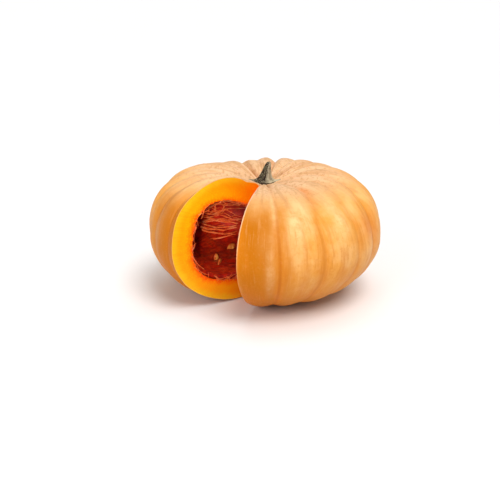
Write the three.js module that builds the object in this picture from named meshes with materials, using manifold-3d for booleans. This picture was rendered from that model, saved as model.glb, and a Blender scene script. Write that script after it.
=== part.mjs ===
// A flat, deeply lobed winter squash of the kabocha kind, with one wedge cut out of it.
// Millimetres, +Z up. The origin is on the fruit's axis, on the flat spot that it rests on.
// Azimuths are degrees round the axis: 0 is the middle of the open notch (-Y), 90 is +X.
// Tilts are degrees from straight up, seen from the fruit's centre.
import * as THREE from 'three';
import { mergeVertices } from 'three/addons/utils/BufferGeometryUtils.js';
import Module from 'manifold-3d';

const wasm = await Module();
wasm.setup();

// Fruit: radius and heights of its outer form above and below the widest circle
const fruit = {
  radius: 150,
  above: 86.2,
  below: 79.8,
  sideFullness: 3.23,
  topFullness: 2.46,
  bottomFullness: 1.75,
  dimpleDepth: 21.8,
  dimpleWidth: 46,
};
const flatDepth = 0.8;
const centreHeight = fruit.below - flatDepth;

// Front: beside the notch the fruit sags, with a lower shoulder and a fuller belly, by depth or
// swell, tilt and spread, between azimuths where it begins and ends
const frontShoulder = { change: -12, tilt: 49, spread: 21 };
const frontBelly = { change: 9, tilt: 87, spread: 16 };
const frontBegins = [2, 24];
const frontEnds = [60, 112];
const frontRamp = [4, 30];
const cavityShare = 0.75;

// Lobes, counted from the groove beside the notch: width in degrees, how far the lobe swells,
// and how deep the groove before it is, as a share of the usual depth
const firstGroove = 19.6;
const lobes = [
  { width: 20.5, swell: 0, groove: 1 },
  { width: 24, swell: 1, groove: 0.6 },
  { width: 21, swell: 1, groove: 0.6 },
  { width: 16, swell: 1, groove: 0.6 },
  { width: 17.5, swell: 4, groove: 0.7 },
  { width: 17, swell: 1, groove: 0.8 },
  { width: 16.4, swell: 1.5, groove: 0.8 },
  { width: 16, swell: 1.5, groove: 0.9 },
  { width: 18, swell: 2, groove: 1.5 },
  { width: 18, swell: 1.5, groove: 0.5 },
  { width: 16, swell: 1, groove: 1.3 },
  { width: 15, swell: -3, groove: 0.6 },
  { width: 22.5, swell: -1.5, groove: 2.1 },
  { width: 18.5, swell: 1, groove: 1 },
  { width: 17, swell: 5, groove: 0.6 },
  { width: 17, swell: 3, groove: 0.7 },
  { width: 15.5, swell: 1, groove: 0.7 },
  { width: 15, swell: 0, groove: 0.8 },
  { width: 19.5, swell: 3.5, groove: 1 },
  { width: 19.5, swell: 0, groove: 0.3 },
];
const swellAtSide = 0.4;
const swellGrowth = 0.9;
const lobeRoundness = 0.7;
const grooveSoftness = 0.1;
const grooveDepthSide = 3.3;
const grooveDepthTop = 7;
const grooveDepthBottom = 3.2;
const grooveFadeTop = [4, 28];
const grooveFadeBottom = [148, 172];

// Beside the notch the grooves lean, away from it at the shoulder and towards it at the belly, by
// degrees, between the tilts where they turn and the azimuths where this begins and ends
const leanHigh = 6;
const leanLow = -4.5;
const leanTurn = [45, 76];
const leanBegins = [36, 62];
const leanEnds = [95, 140];
const leanRamp = [12, 40];

// Seed cavity: the same kind of form about the same centre
const cavity = {
  radius: 121.5,
  above: 64.5,
  below: 51,
  sideFullness: 4.5,
  topFullness: 2.6,
  bottomFullness: 2.2,
  dimpleDepth: 33,
  dimpleWidth: 57,
};

// Notch: its inner edge stands upright off the axis, and its two cut faces run out from there
const notchEdgeAzimuth = 34.2;
const notchEdgeDistance = 17.9;
const notchFaceAzimuths = [-19.9, 20];
const notchReach = 220;

// Stem: radii with heights over the skin, from the rim of its foot to its dry tip, and the
// azimuths and lengths of the foot's points, each of which runs up the column as a ridge
const stemOutline = [
  [20, 0.9], [15.6, 2.2], [11.8, 4.2], [9, 7], [7.3, 11], [6, 16], [4.9, 21], [3.6, 25.6], [2, 28],
];
const footPoints = [
  { azimuth: 10, length: 13.5 },
  { azimuth: 66, length: 13 },
  { azimuth: 124, length: 21.5 },
  { azimuth: 184, length: 15 },
  { azimuth: 246, length: 15 },
  { azimuth: 307, length: 21 },
];
const footRadius = 10.5;
const pointSpread = 15;
const columnRidge = 0.26;
const stemLean = 5;
const stemLeanAzimuth = 124.6;
const stemRoot = 2;

// Pulp: a lumpy lining of the cavity with strands and seeds
const liningThickness = 5.5;
const liningLump = 2.2;
const liningLumpsRound = 9;
const liningLumpsDown = 5;
const pulpSetback = 1.5;
const strandCount = 18;
const strandRadius = 1.5;
const strandSpan = [34, 62];
const strandAzimuths = [75, 300];
const strandLevels = [-26, 34];
const seedCount = 20;
const seedSize = [8.5, 5, 2];
const seedAzimuths = [60, 320];
const seedTilts = [105, 150];

const gap = 0.3;
const lobeColumns = [0, 0.12, 0.32, 0.68, 0.88];
const fruitRows = 27;
const cavityColumns = 40;
const cavityRows = 14;
const stemSides = 36;

const radians = THREE.MathUtils.degToRad;

/** Direction in the level plane at an azimuth in degrees. */
function heading(azimuth) {
  return new THREE.Vector2(Math.sin(radians(azimuth)), -Math.cos(radians(azimuth)));
}

/** How a point compares with a form's surface: under 1 inside, over 1 outside. */
function fullnessAt(form, across, up) {
  const reach = up > 0 ? form.above : form.below;
  const fullness = up > 0 ? form.topFullness : form.bottomFullness;
  const sink = form.dimpleDepth * Math.exp(-((across / form.dimpleWidth) ** 2));
  const lifted = up > 0 ? up + sink * Math.min(1, (2 * up) / reach) : -up;
  return (across / form.radius) ** form.sideFullness + (lifted / reach) ** fullness;
}

/** Distance from a form's centre to its smooth surface at a tilt in degrees, by bisection. */
function smoothReach(form, tilt) {
  const across = Math.max(0, Math.sin(radians(tilt)));
  const up = Math.cos(radians(tilt));
  let inside = 0;
  let outside = 1.4 * form.radius;
  while (outside - inside > 1e-6) {
    const middle = (inside + outside) / 2;
    if (fullnessAt(form, middle * across, middle * up) < 1) inside = middle;
    else outside = middle;
  }
  return (inside + outside) / 2;
}

/** Azimuths of the grooves, with the first one again a full turn later. */
const grooves = lobes.reduce((list, { width }) => [...list, list.at(-1) + width], [firstGroove]);

/** The number of the lobe at an azimuth, and how far across it the azimuth lies, from 0 to 1. */
function lobeAt(azimuth) {
  const turned = THREE.MathUtils.euclideanModulo(azimuth - firstGroove, 360) + firstGroove;
  const number = Math.min(grooves.findLastIndex((groove) => groove <= turned), lobes.length - 1);
  return { number, across: (turned - grooves[number]) / lobes[number].width };
}

/** How far apart two azimuths are, from -180 to 180. */
function turnBetween(from, to) {
  return THREE.MathUtils.euclideanModulo(to - from + 180, 360) - 180;
}

/** How far the front's lower shoulder and fuller belly move the surface. */
function frontShift(azimuth, tilt) {
  const turned = turnBetween(0, azimuth);
  const share =
    THREE.MathUtils.smoothstep(turned, ...frontBegins) *
    (1 - THREE.MathUtils.smoothstep(turned, ...frontEnds)) *
    THREE.MathUtils.smoothstep(tilt, ...frontRamp);
  return [frontShoulder, frontBelly].reduce((sum, { change, tilt: middle, spread }) => {
    return sum + share * change * Math.exp(-(((tilt - middle) / spread) ** 2));
  }, 0);
}

/** Round rise of a lobe, from 0 in the soft bottom of a groove to 1 along the lobe's middle. */
function archAt(across) {
  const square = Math.sin(Math.PI * across) ** 2;
  const power = lobeRoundness / 2;
  const lowest = grooveSoftness ** lobeRoundness;
  return ((square + grooveSoftness ** 2) ** power - lowest) / ((1 + grooveSoftness ** 2) ** power - lowest);
}

/** Azimuth at a tilt of a line down the fruit, from its azimuth where the grooves don't lean. */
function leant(line, tilt) {
  const share =
    THREE.MathUtils.smoothstep(line, ...leanBegins) *
    (1 - THREE.MathUtils.smoothstep(line, ...leanEnds)) *
    THREE.MathUtils.smoothstep(tilt, ...leanRamp);
  const turned = THREE.MathUtils.smoothstep(tilt, ...leanTurn);
  return line + share * THREE.MathUtils.lerp(leanHigh, leanLow, turned);
}

/** Distance from the fruit's centre to its lobed skin, on a line down the fruit. */
function skinReach(line, tilt) {
  const { number, across } = lobeAt(line);
  const nearGroove = across < 0.5 ? lobes[number] : lobes[(number + 1) % lobes.length];
  const arch = archAt(across);
  const rise = Math.cos(radians(tilt));
  const swell = lobes[number].swell * Math.max(0, swellAtSide + swellGrowth * rise);
  const depth =
    grooveDepthSide + grooveDepthTop * Math.max(0, rise) ** 2 + grooveDepthBottom * Math.max(0, -rise);
  const fade =
    THREE.MathUtils.smoothstep(tilt, ...grooveFadeTop) *
    (1 - THREE.MathUtils.smoothstep(tilt, ...grooveFadeBottom));
  const lobed = fade * (swell * arch - nearGroove.groove * depth * (1 - arch));
  return smoothReach(fruit, tilt) + frontShift(leant(line, tilt), tilt) + lobed;
}

/** Distance from the fruit's centre to the wall of its cavity. */
function cavityReach(azimuth, tilt) {
  return smoothReach(cavity, tilt) + cavityShare * frontShift(azimuth, tilt);
}

/** Lines down the fruit that put a column of faces in every groove. */
function lobedLine(column) {
  const number = Math.floor(column / lobeColumns.length) % lobes.length;
  return grooves[number] + lobes[number].width * lobeColumns[column % lobeColumns.length];
}

/** A closed solid from a three.js geometry. */
function solidOf(geometry) {
  geometry.deleteAttribute('normal');
  geometry.deleteAttribute('uv');
  const merged = mergeVertices(geometry, 1e-4);
  return new wasm.Manifold(
    new wasm.Mesh({
      numProp: 3,
      vertProperties: new Float32Array(merged.attributes.position.array),
      triVerts: new Uint32Array(merged.index.array),
    }),
  );
}

/** A closed form round the fruit's centre, whose azimuth and reach follow from column and tilt. */
function formSolid(columns, rows, placeOf) {
  const geometry = new THREE.SphereGeometry(1, columns, rows);
  const position = geometry.attributes.position;
  const uv = geometry.attributes.uv;
  for (let i = 0; i < position.count; i += 1) {
    const column = (i % (columns + 1)) % columns;
    const row = Math.round((1 - uv.getY(i)) * rows);
    const tilt = (180 * row) / rows;
    const { azimuth, reach } = placeOf(column, tilt);
    const across = row === 0 || row === rows ? 0 : reach * Math.sin(radians(tilt));
    const side = heading(azimuth).multiplyScalar(across);
    position.setXYZ(i, side.x, side.y, centreHeight + reach * Math.cos(radians(tilt)));
  }
  return solidOf(geometry);
}

/** The lobed outer form, larger than life by a clearance. */
function fruitForm(clearance = 0) {
  const columns = lobes.length * lobeColumns.length;
  return formSolid(columns, fruitRows, (column, tilt) => {
    const line = lobedLine(column);
    const polar = tilt === 0 || tilt === 180;
    const reach = (polar ? smoothReach(fruit, tilt) : skinReach(line, tilt)) + clearance;
    return { azimuth: leant(line, tilt), reach };
  });
}

/** A form that follows the cavity's wall, drawn in by an inset. */
function cavityForm(insetOf) {
  return formSolid(cavityColumns, cavityRows, (column, tilt) => {
    const azimuth = (360 * column) / cavityColumns;
    return { azimuth, reach: cavityReach(azimuth, tilt) - insetOf(azimuth, tilt) };
  });
}

/** The wedge of space in the notch, with its faces moved back by a setback. */
function notchWedge(setback = 0) {
  const [first, last] = notchFaceAzimuths;
  const middle = heading((first + last) / 2);
  const back = setback / Math.sin(radians((last - first) / 2));
  const edge = heading(notchEdgeAzimuth).multiplyScalar(notchEdgeDistance);
  edge.addScaledVector(middle, -back);
  const corners = [
    edge,
    edge.clone().addScaledVector(heading(first), notchReach),
    edge.clone().addScaledVector(heading(last), notchReach),
  ];
  const depth = 3 * centreHeight;
  const wedge = new THREE.ExtrudeGeometry(new THREE.Shape(corners), { depth, bevelEnabled: false });
  wedge.translate(0, 0, -centreHeight / 2);
  return solidOf(wedge);
}

/** Rind and flesh: the lobed form with its cavity, its notch and the flat spot underneath. */
function makeBody() {
  const ground = new THREE.BoxGeometry(4 * fruit.radius, 4 * fruit.radius, fruit.below);
  ground.translate(0, 0, -fruit.below / 2);
  return fruitForm()
    .subtract(cavityForm(() => 0))
    .subtract(notchWedge())
    .subtract(solidOf(ground));
}

/** Height of the fruit's smooth top above the ground at a distance from the axis. */
function topHeight(across) {
  const level = (1 - (across / fruit.radius) ** fruit.sideFullness) ** (1 / fruit.topFullness);
  const sink = fruit.dimpleDepth * Math.exp(-((across / fruit.dimpleWidth) ** 2));
  return centreHeight + fruit.above * level - sink;
}

/** The stem's radius at an azimuth, as a share of its outline's, in the column and in the foot. */
function ridgeAt(azimuth) {
  const near = footPoints.map((point) => {
    return { ...point, share: Math.exp(-((turnBetween(point.azimuth, azimuth) / pointSpread) ** 2)) };
  });
  const ridge = near.reduce((sum, { share }) => sum + share, 0);
  const foot = near.reduce((sum, { share, length }) => sum + share * (length - footRadius), footRadius);
  return [1 - columnRidge + columnRidge * ridge, foot / stemOutline[0][0]];
}

/** Stem: a ridged column on a thin star-shaped foot that lies on the skin of the dimple. */
function makeStem() {
  const tipHeight = stemOutline.at(-1)[1];
  const outline = [
    new THREE.Vector2(0, -stemRoot),
    new THREE.Vector2(stemOutline[0][0], -stemRoot),
    ...stemOutline.map(([radius, height]) => new THREE.Vector2(radius, height)),
    new THREE.Vector2(0, tipHeight),
  ];
  const geometry = new THREE.LatheGeometry(outline, stemSides);
  const position = geometry.attributes.position;
  const lean = heading(stemLeanAzimuth);
  for (let i = 0; i < position.count; i += 1) {
    const side = Math.floor(i / outline.length) % stemSides;
    const { x: radius, y: height } = outline[i % outline.length];
    const azimuth = (360 * side) / stemSides;
    const footShare = Math.min(1, radius / stemOutline[0][0]) ** 2;
    const across = radius * THREE.MathUtils.lerp(...ridgeAt(azimuth), footShare);
    const climbed = Math.max(0, height) / tipHeight;
    const place = heading(azimuth).multiplyScalar(across);
    place.addScaledVector(lean, stemLean * climbed ** 1.6);
    position.setXYZ(i, place.x, place.y, topHeight(across) + height);
  }
  return solidOf(geometry).subtract(fruitForm(gap));
}

/** A repeatable source of numbers from 0 to 1. */
function drawFrom(seed) {
  let state = seed;
  return (low = 0, high = 1) => {
    state = (state * 16807) % 2147483647;
    return low + ((high - low) * state) / 2147483647;
  };
}

/** Thickness of the lining, lumpy where seeds lay against it. */
function liningAt(azimuth, tilt) {
  const round = Math.sin(radians(liningLumpsRound * azimuth)) * Math.sin(radians(tilt));
  return liningThickness + liningLump * round * Math.cos(radians(liningLumpsDown * tilt));
}

/** A point in the cavity at an azimuth and a level over its widest circle, some way off the wall. */
function besideWall(azimuth, level, inset) {
  let tilt = 90;
  let reach = cavityReach(azimuth, tilt);
  for (let step = 0; step < 20; step += 1) {
    tilt = THREE.MathUtils.radToDeg(Math.acos(level / reach));
    reach = cavityReach(azimuth, tilt);
  }
  const across = reach * Math.sin(radians(tilt)) - inset;
  const side = heading(azimuth).multiplyScalar(across);
  return new THREE.Vector3(side.x, side.y, centreHeight + level);
}

/** Strands: thin cords of fibre stretched level from one stretch of the lining to the next. */
function makeStrands() {
  const draw = drawFrom(71);
  const section = new THREE.Shape(
    Array.from({ length: 5 }, (_, i) => heading(72 * i).multiplyScalar(strandRadius)),
  );
  return Array.from({ length: strandCount }, () => {
    const span = draw(...strandSpan);
    const start = draw(strandAzimuths[0], strandAzimuths[1] - span);
    const level = draw(...strandLevels);
    const from = besideWall(start, level, 2);
    const to = besideWall(start + span, level + draw(-8, 8), 2);
    const sag = from.clone().lerp(to, 0.5);
    sag.z -= draw(2, 8);
    const extrudePath = new THREE.QuadraticBezierCurve3(from, sag, to);
    return solidOf(new THREE.ExtrudeGeometry(section, { steps: 5, extrudePath, bevelEnabled: false }));
  });
}

/** Seeds: flat ovals, half sunk in the lower lining. */
function makeSeeds() {
  const draw = drawFrom(29);
  return Array.from({ length: seedCount }, (_, i) => {
    const share = (i + draw(0.2, 0.8)) / seedCount;
    const azimuth = THREE.MathUtils.lerp(...seedAzimuths, share);
    const tilt = draw(...seedTilts);
    const reach = cavityReach(azimuth, tilt) - liningAt(azimuth, tilt);
    const side = heading(azimuth).multiplyScalar(reach * Math.sin(radians(tilt)));
    const place = new THREE.Vector3(side.x, side.y, centreHeight + reach * Math.cos(radians(tilt)));
    const turn = new THREE.Euler(draw(-0.6, 0.6), draw(-0.6, 0.6), draw(0, Math.PI));
    const matrix = new THREE.Matrix4().compose(
      place,
      new THREE.Quaternion().setFromEuler(turn),
      new THREE.Vector3(...seedSize),
    );
    return solidOf(new THREE.SphereGeometry(1, 8, 5).applyMatrix4(matrix));
  });
}

/** Pulp: lining, strands and seeds in one body, open at the notch. */
function makePulp() {
  const outer = cavityForm(() => gap);
  const inner = cavityForm(liningAt);
  const lining = outer.subtract(inner);
  const whole = [...makeStrands(), ...makeSeeds()].reduce((sum, piece) => sum.add(piece), lining);
  const pieces = whole.intersect(outer).subtract(notchWedge(pulpSetback)).decompose();
  return pieces.reduce((best, piece) => (piece.volume() > best.volume() ? piece : best));
}

/** A named mesh from a solid and its material. */
function meshOf(name, solid, material) {
  const { vertProperties, triVerts } = solid.getMesh();
  const geometry = new THREE.BufferGeometry();
  geometry.setAttribute('position', new THREE.Float32BufferAttribute(vertProperties, 3));
  geometry.setIndex(Array.from(triVerts));
  geometry.computeVertexNormals();
  const mesh = new THREE.Mesh(geometry, new THREE.MeshStandardMaterial(material));
  mesh.name = name;
  return mesh;
}

const squash = new THREE.Group();
squash.name = 'kabocha_squash';
squash.add(
  meshOf('squash_body', makeBody(), { color: '#f2b06c', roughness: 0.42, metalness: 0 }),
  meshOf('stem', makeStem(), { color: '#8d7a5c', roughness: 0.85, metalness: 0 }),
  meshOf('pulp', makePulp(), { color: '#a8321a', roughness: 0.55, metalness: 0 }),
);

export default squash;
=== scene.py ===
"""A flat, deeply lobed winter squash with one wedge cut out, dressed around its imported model.

Lengths are metres and angles degrees. The fruit stands on the ground at the origin with its stem
up. Azimuths are 0 at the middle of the notch (-Y) and grow towards +X. Tilts are measured from
straight up, seen from the fruit's centre.
"""

import logging
import math
import random
from collections.abc import Callable
from dataclasses import dataclass, field
from enum import Enum
from functools import cached_property
from typing import ClassVar

import bpy
import numpy as np
from mathutils import Euler, Matrix, Vector, noise

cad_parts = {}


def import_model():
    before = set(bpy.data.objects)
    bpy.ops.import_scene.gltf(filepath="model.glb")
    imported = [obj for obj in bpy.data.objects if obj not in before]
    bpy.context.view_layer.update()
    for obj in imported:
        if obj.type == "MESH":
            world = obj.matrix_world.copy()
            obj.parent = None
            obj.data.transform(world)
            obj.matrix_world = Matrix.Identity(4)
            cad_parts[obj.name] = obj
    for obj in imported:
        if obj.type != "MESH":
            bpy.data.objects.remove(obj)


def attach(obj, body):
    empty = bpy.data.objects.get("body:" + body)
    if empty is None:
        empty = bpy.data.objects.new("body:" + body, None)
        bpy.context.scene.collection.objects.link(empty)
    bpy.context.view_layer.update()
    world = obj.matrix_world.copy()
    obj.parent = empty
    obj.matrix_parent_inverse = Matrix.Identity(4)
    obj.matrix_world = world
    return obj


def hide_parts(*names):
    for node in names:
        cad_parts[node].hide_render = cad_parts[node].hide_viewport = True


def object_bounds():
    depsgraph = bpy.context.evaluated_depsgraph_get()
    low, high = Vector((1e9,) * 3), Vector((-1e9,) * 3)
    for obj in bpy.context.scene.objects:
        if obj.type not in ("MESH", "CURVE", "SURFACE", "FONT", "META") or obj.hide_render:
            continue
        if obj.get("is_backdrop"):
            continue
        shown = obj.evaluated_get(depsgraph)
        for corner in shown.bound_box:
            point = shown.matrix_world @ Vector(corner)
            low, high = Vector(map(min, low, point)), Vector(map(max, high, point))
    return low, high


log = logging.getLogger("squash")

MM = 0.001
IMAGE_SIDE = 500
CURVE_STEPS = 3601


class Zone(Enum):
    """The parts of the fruit's surface that have a finish of their own, by material slot."""

    RIND = 0
    FLESH = 1
    CAVITY = 2


def hex_colour(code: str) -> tuple[float, float, float, float]:
    """Turns an sRGB hex colour to linear light.

    Args:
        code: Six hex digits, with or without a leading #.

    Returns:
        Red, green, blue and alpha.
    """
    digits = code.lstrip("#")
    parts = [int(digits[i : i + 2], 16) / 255 for i in (0, 2, 4)]
    linear = [c / 12.92 if c <= 0.04045 else ((c + 0.055) / 1.055) ** 2.4 for c in parts]
    return (linear[0], linear[1], linear[2], 1.0)


def add_node(
    tree: bpy.types.NodeTree,
    kind: str,
    values: dict | None = None,
    links: dict | None = None,
    **settings: object,
) -> bpy.types.Node:
    """Adds a node with its settings, input values and links.

    Args:
        tree: The material's node tree.
        kind: The node's type name.
        values: Input name or number, with the value that it holds.
        links: Input name or number, with the output that feeds it.
        **settings: The node's own settings.

    Returns:
        The new node.
    """
    node = tree.nodes.new(kind)
    for name, value in settings.items():
        setattr(node, name, value)
    for socket, value in (values or {}).items():
        node.inputs[socket].default_value = value
    for socket, source in (links or {}).items():
        tree.links.new(source, node.inputs[socket])
    return node


def new_material(name: str) -> tuple[bpy.types.Material, bpy.types.NodeTree]:
    """Starts an empty material.

    Args:
        name: The material's name.

    Returns:
        The material and its node tree.
    """
    material = bpy.data.materials.new(name)
    material.use_nodes = True
    material.node_tree.nodes.clear()
    return material, material.node_tree


def heading(azimuth: np.ndarray | float) -> np.ndarray:
    """Unit vectors in the level plane at azimuths in degrees, one row each."""
    angle = np.radians(azimuth)
    return np.stack([np.sin(angle), -np.cos(angle), np.zeros_like(angle)], axis=-1)


def smoothstep(value: np.ndarray, low: float, high: float) -> np.ndarray:
    """Rises smoothly from 0 at low to 1 at high."""
    share = np.clip((value - low) / (high - low), 0.0, 1.0)
    return share * share * (3.0 - 2.0 * share)


def turn_from(azimuth: np.ndarray, middle: float) -> np.ndarray:
    """How far azimuths are turned from a middle one, from -180 to 180 degrees."""
    return (azimuth - middle + 180.0) % 360.0 - 180.0


def edge_between(
    inside: np.ndarray, outside: np.ndarray, is_within: Callable[[np.ndarray], np.ndarray], halvings: int
) -> np.ndarray:
    """Closes in on an edge by halving the way to it.

    Args:
        inside: Values that lie inside.
        outside: Values that lie outside.
        is_within: Says which values lie inside.
        halvings: How many times the way is halved.

    Returns:
        The values at the edge.
    """
    for _ in range(halvings):
        middle = (inside + outside) / 2
        within = is_within(middle)
        inside = np.where(within, middle, inside)
        outside = np.where(within, outside, middle)
    return (inside + outside) / 2


def grain(places: np.ndarray, size: float | tuple[float, float, float], shift: float = 0.0) -> np.ndarray:
    """Smooth random values, about -1 to 1, at points in space.

    Args:
        places: Points, one row each.
        size: Size of the lumps, one number or one for each axis.
        shift: Moves the pattern, so that two of them differ.

    Returns:
        One value for each point.
    """
    scaled = places / np.asarray(size) + shift
    return np.fromiter((noise.noise(Vector(p)) for p in scaled), float, len(scaled))


@dataclass(frozen=True)
class Form:
    """A closed round form about the fruit's centre: a fuller or flatter ellipse with a dimple on top."""

    radius: float
    above: float
    below: float
    side_fullness: float
    top_fullness: float
    bottom_fullness: float
    dimple_depth: float
    dimple_width: float

    def fullness_at(self, across: np.ndarray, up: np.ndarray) -> np.ndarray:
        """How points compare with the surface: under 1 inside, over 1 outside.

        Args:
            across: Distances from the axis.
            up: Heights over the centre.

        Returns:
            One value for each point.
        """
        reach = np.where(up > 0, self.above, self.below)
        fullness = np.where(up > 0, self.top_fullness, self.bottom_fullness)
        sink = self.dimple_depth * np.exp(-((across / self.dimple_width) ** 2))
        lifted = np.where(up > 0, up + sink * np.minimum(1.0, 2.0 * up / reach), -up)
        return (across / self.radius) ** self.side_fullness + (np.abs(lifted) / reach) ** fullness

    @cached_property
    def curve(self) -> tuple[np.ndarray, np.ndarray]:
        """A fine curve of the surface.

        Returns:
            Tilts in degrees, and the distances from the centre at them.
        """
        tilts = np.linspace(0.0, 180.0, CURVE_STEPS)
        across = np.maximum(0.0, np.sin(np.radians(tilts)))
        up = np.cos(np.radians(tilts))

        def is_within(away: np.ndarray) -> np.ndarray:
            """Says which distances from the centre lie inside the form."""
            return self.fullness_at(away * across, away * up) < 1.0

        # No form reaches farther than 1.4 radii.
        outside = np.full_like(tilts, 1.4 * self.radius)
        return tilts, edge_between(np.zeros_like(tilts), outside, is_within, halvings=32)

    def smooth_reach(self, tilt: np.ndarray) -> np.ndarray:
        """Distances from the centre to the surface at tilts in degrees."""
        return np.interp(tilt, *self.curve)


@dataclass(frozen=True)
class Lobe:
    """One lobe: its width in degrees, its swell, and how deep the groove before it is."""

    width: float
    swell: float
    groove: float


LOBES = tuple(
    Lobe(width, swell * MM, groove)
    for width, swell, groove in (
        (20.5, 0, 1), (24, 1, 0.6), (21, 1, 0.6), (16, 1, 0.6), (17.5, 4, 0.7), (17, 1, 0.8),
        (16.4, 1.5, 0.8), (16, 1.5, 0.9), (18, 2, 1.5), (18, 1.5, 0.5), (16, 1, 1.3), (15, -3, 0.6),
        (22.5, -1.5, 2.1), (18.5, 1, 1), (17, 5, 0.6), (17, 3, 0.7), (15.5, 1, 0.7), (15, 0, 0.8),
        (19.5, 3.5, 1), (19.5, 0, 0.3),
    )
)  # fmt: skip


@dataclass(frozen=True)
class Sag:
    """One swelling or hollow of the front: how far it moves the surface, its tilt and its spread."""

    change: float
    tilt: float
    spread: float


@dataclass(frozen=True)
class Front:
    """The side next to the notch, which has a lower shoulder and a fuller belly than the rest."""

    sags: tuple[Sag, ...] = (Sag(-0.012, 49, 21), Sag(0.009, 87, 16))
    begins: tuple[float, float] = (2, 24)
    ends: tuple[float, float] = (60, 112)
    ramp: tuple[float, float] = (4, 30)

    def shift(self, azimuth: np.ndarray, tilt: np.ndarray) -> np.ndarray:
        """How far the front moves the surface.

        Args:
            azimuth: Azimuths in degrees.
            tilt: Tilts in degrees.

        Returns:
            One distance for each direction, outwards where it is positive.
        """
        turned = turn_from(azimuth, 0.0)
        share = smoothstep(turned, *self.begins) * (1.0 - smoothstep(turned, *self.ends))
        moved = sum(sag.change * np.exp(-(((tilt - sag.tilt) / sag.spread) ** 2)) for sag in self.sags)
        return share * smoothstep(tilt, *self.ramp) * moved


FRONT = Front()


@dataclass(frozen=True)
class Lean:
    """How the grooves lean beside the notch: away from it at the shoulder, towards it at the belly."""

    high: float = 6.0
    low: float = -4.5
    turns: tuple[float, float] = (45, 76)
    begins: tuple[float, float] = (36, 62)
    ends: tuple[float, float] = (95, 140)
    ramp: tuple[float, float] = (12, 40)

    def turn(self, line: np.ndarray, tilt: np.ndarray) -> np.ndarray:
        """How far lines down the fruit are turned.

        Args:
            line: The lines' azimuths in degrees.
            tilt: Tilts in degrees.

        Returns:
            One turn in degrees for each place.
        """
        share = smoothstep(line, *self.begins) * (1.0 - smoothstep(line, *self.ends))
        turned = self.high + (self.low - self.high) * smoothstep(tilt, *self.turns)
        return share * smoothstep(tilt, *self.ramp) * turned


LEAN = Lean()


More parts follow.
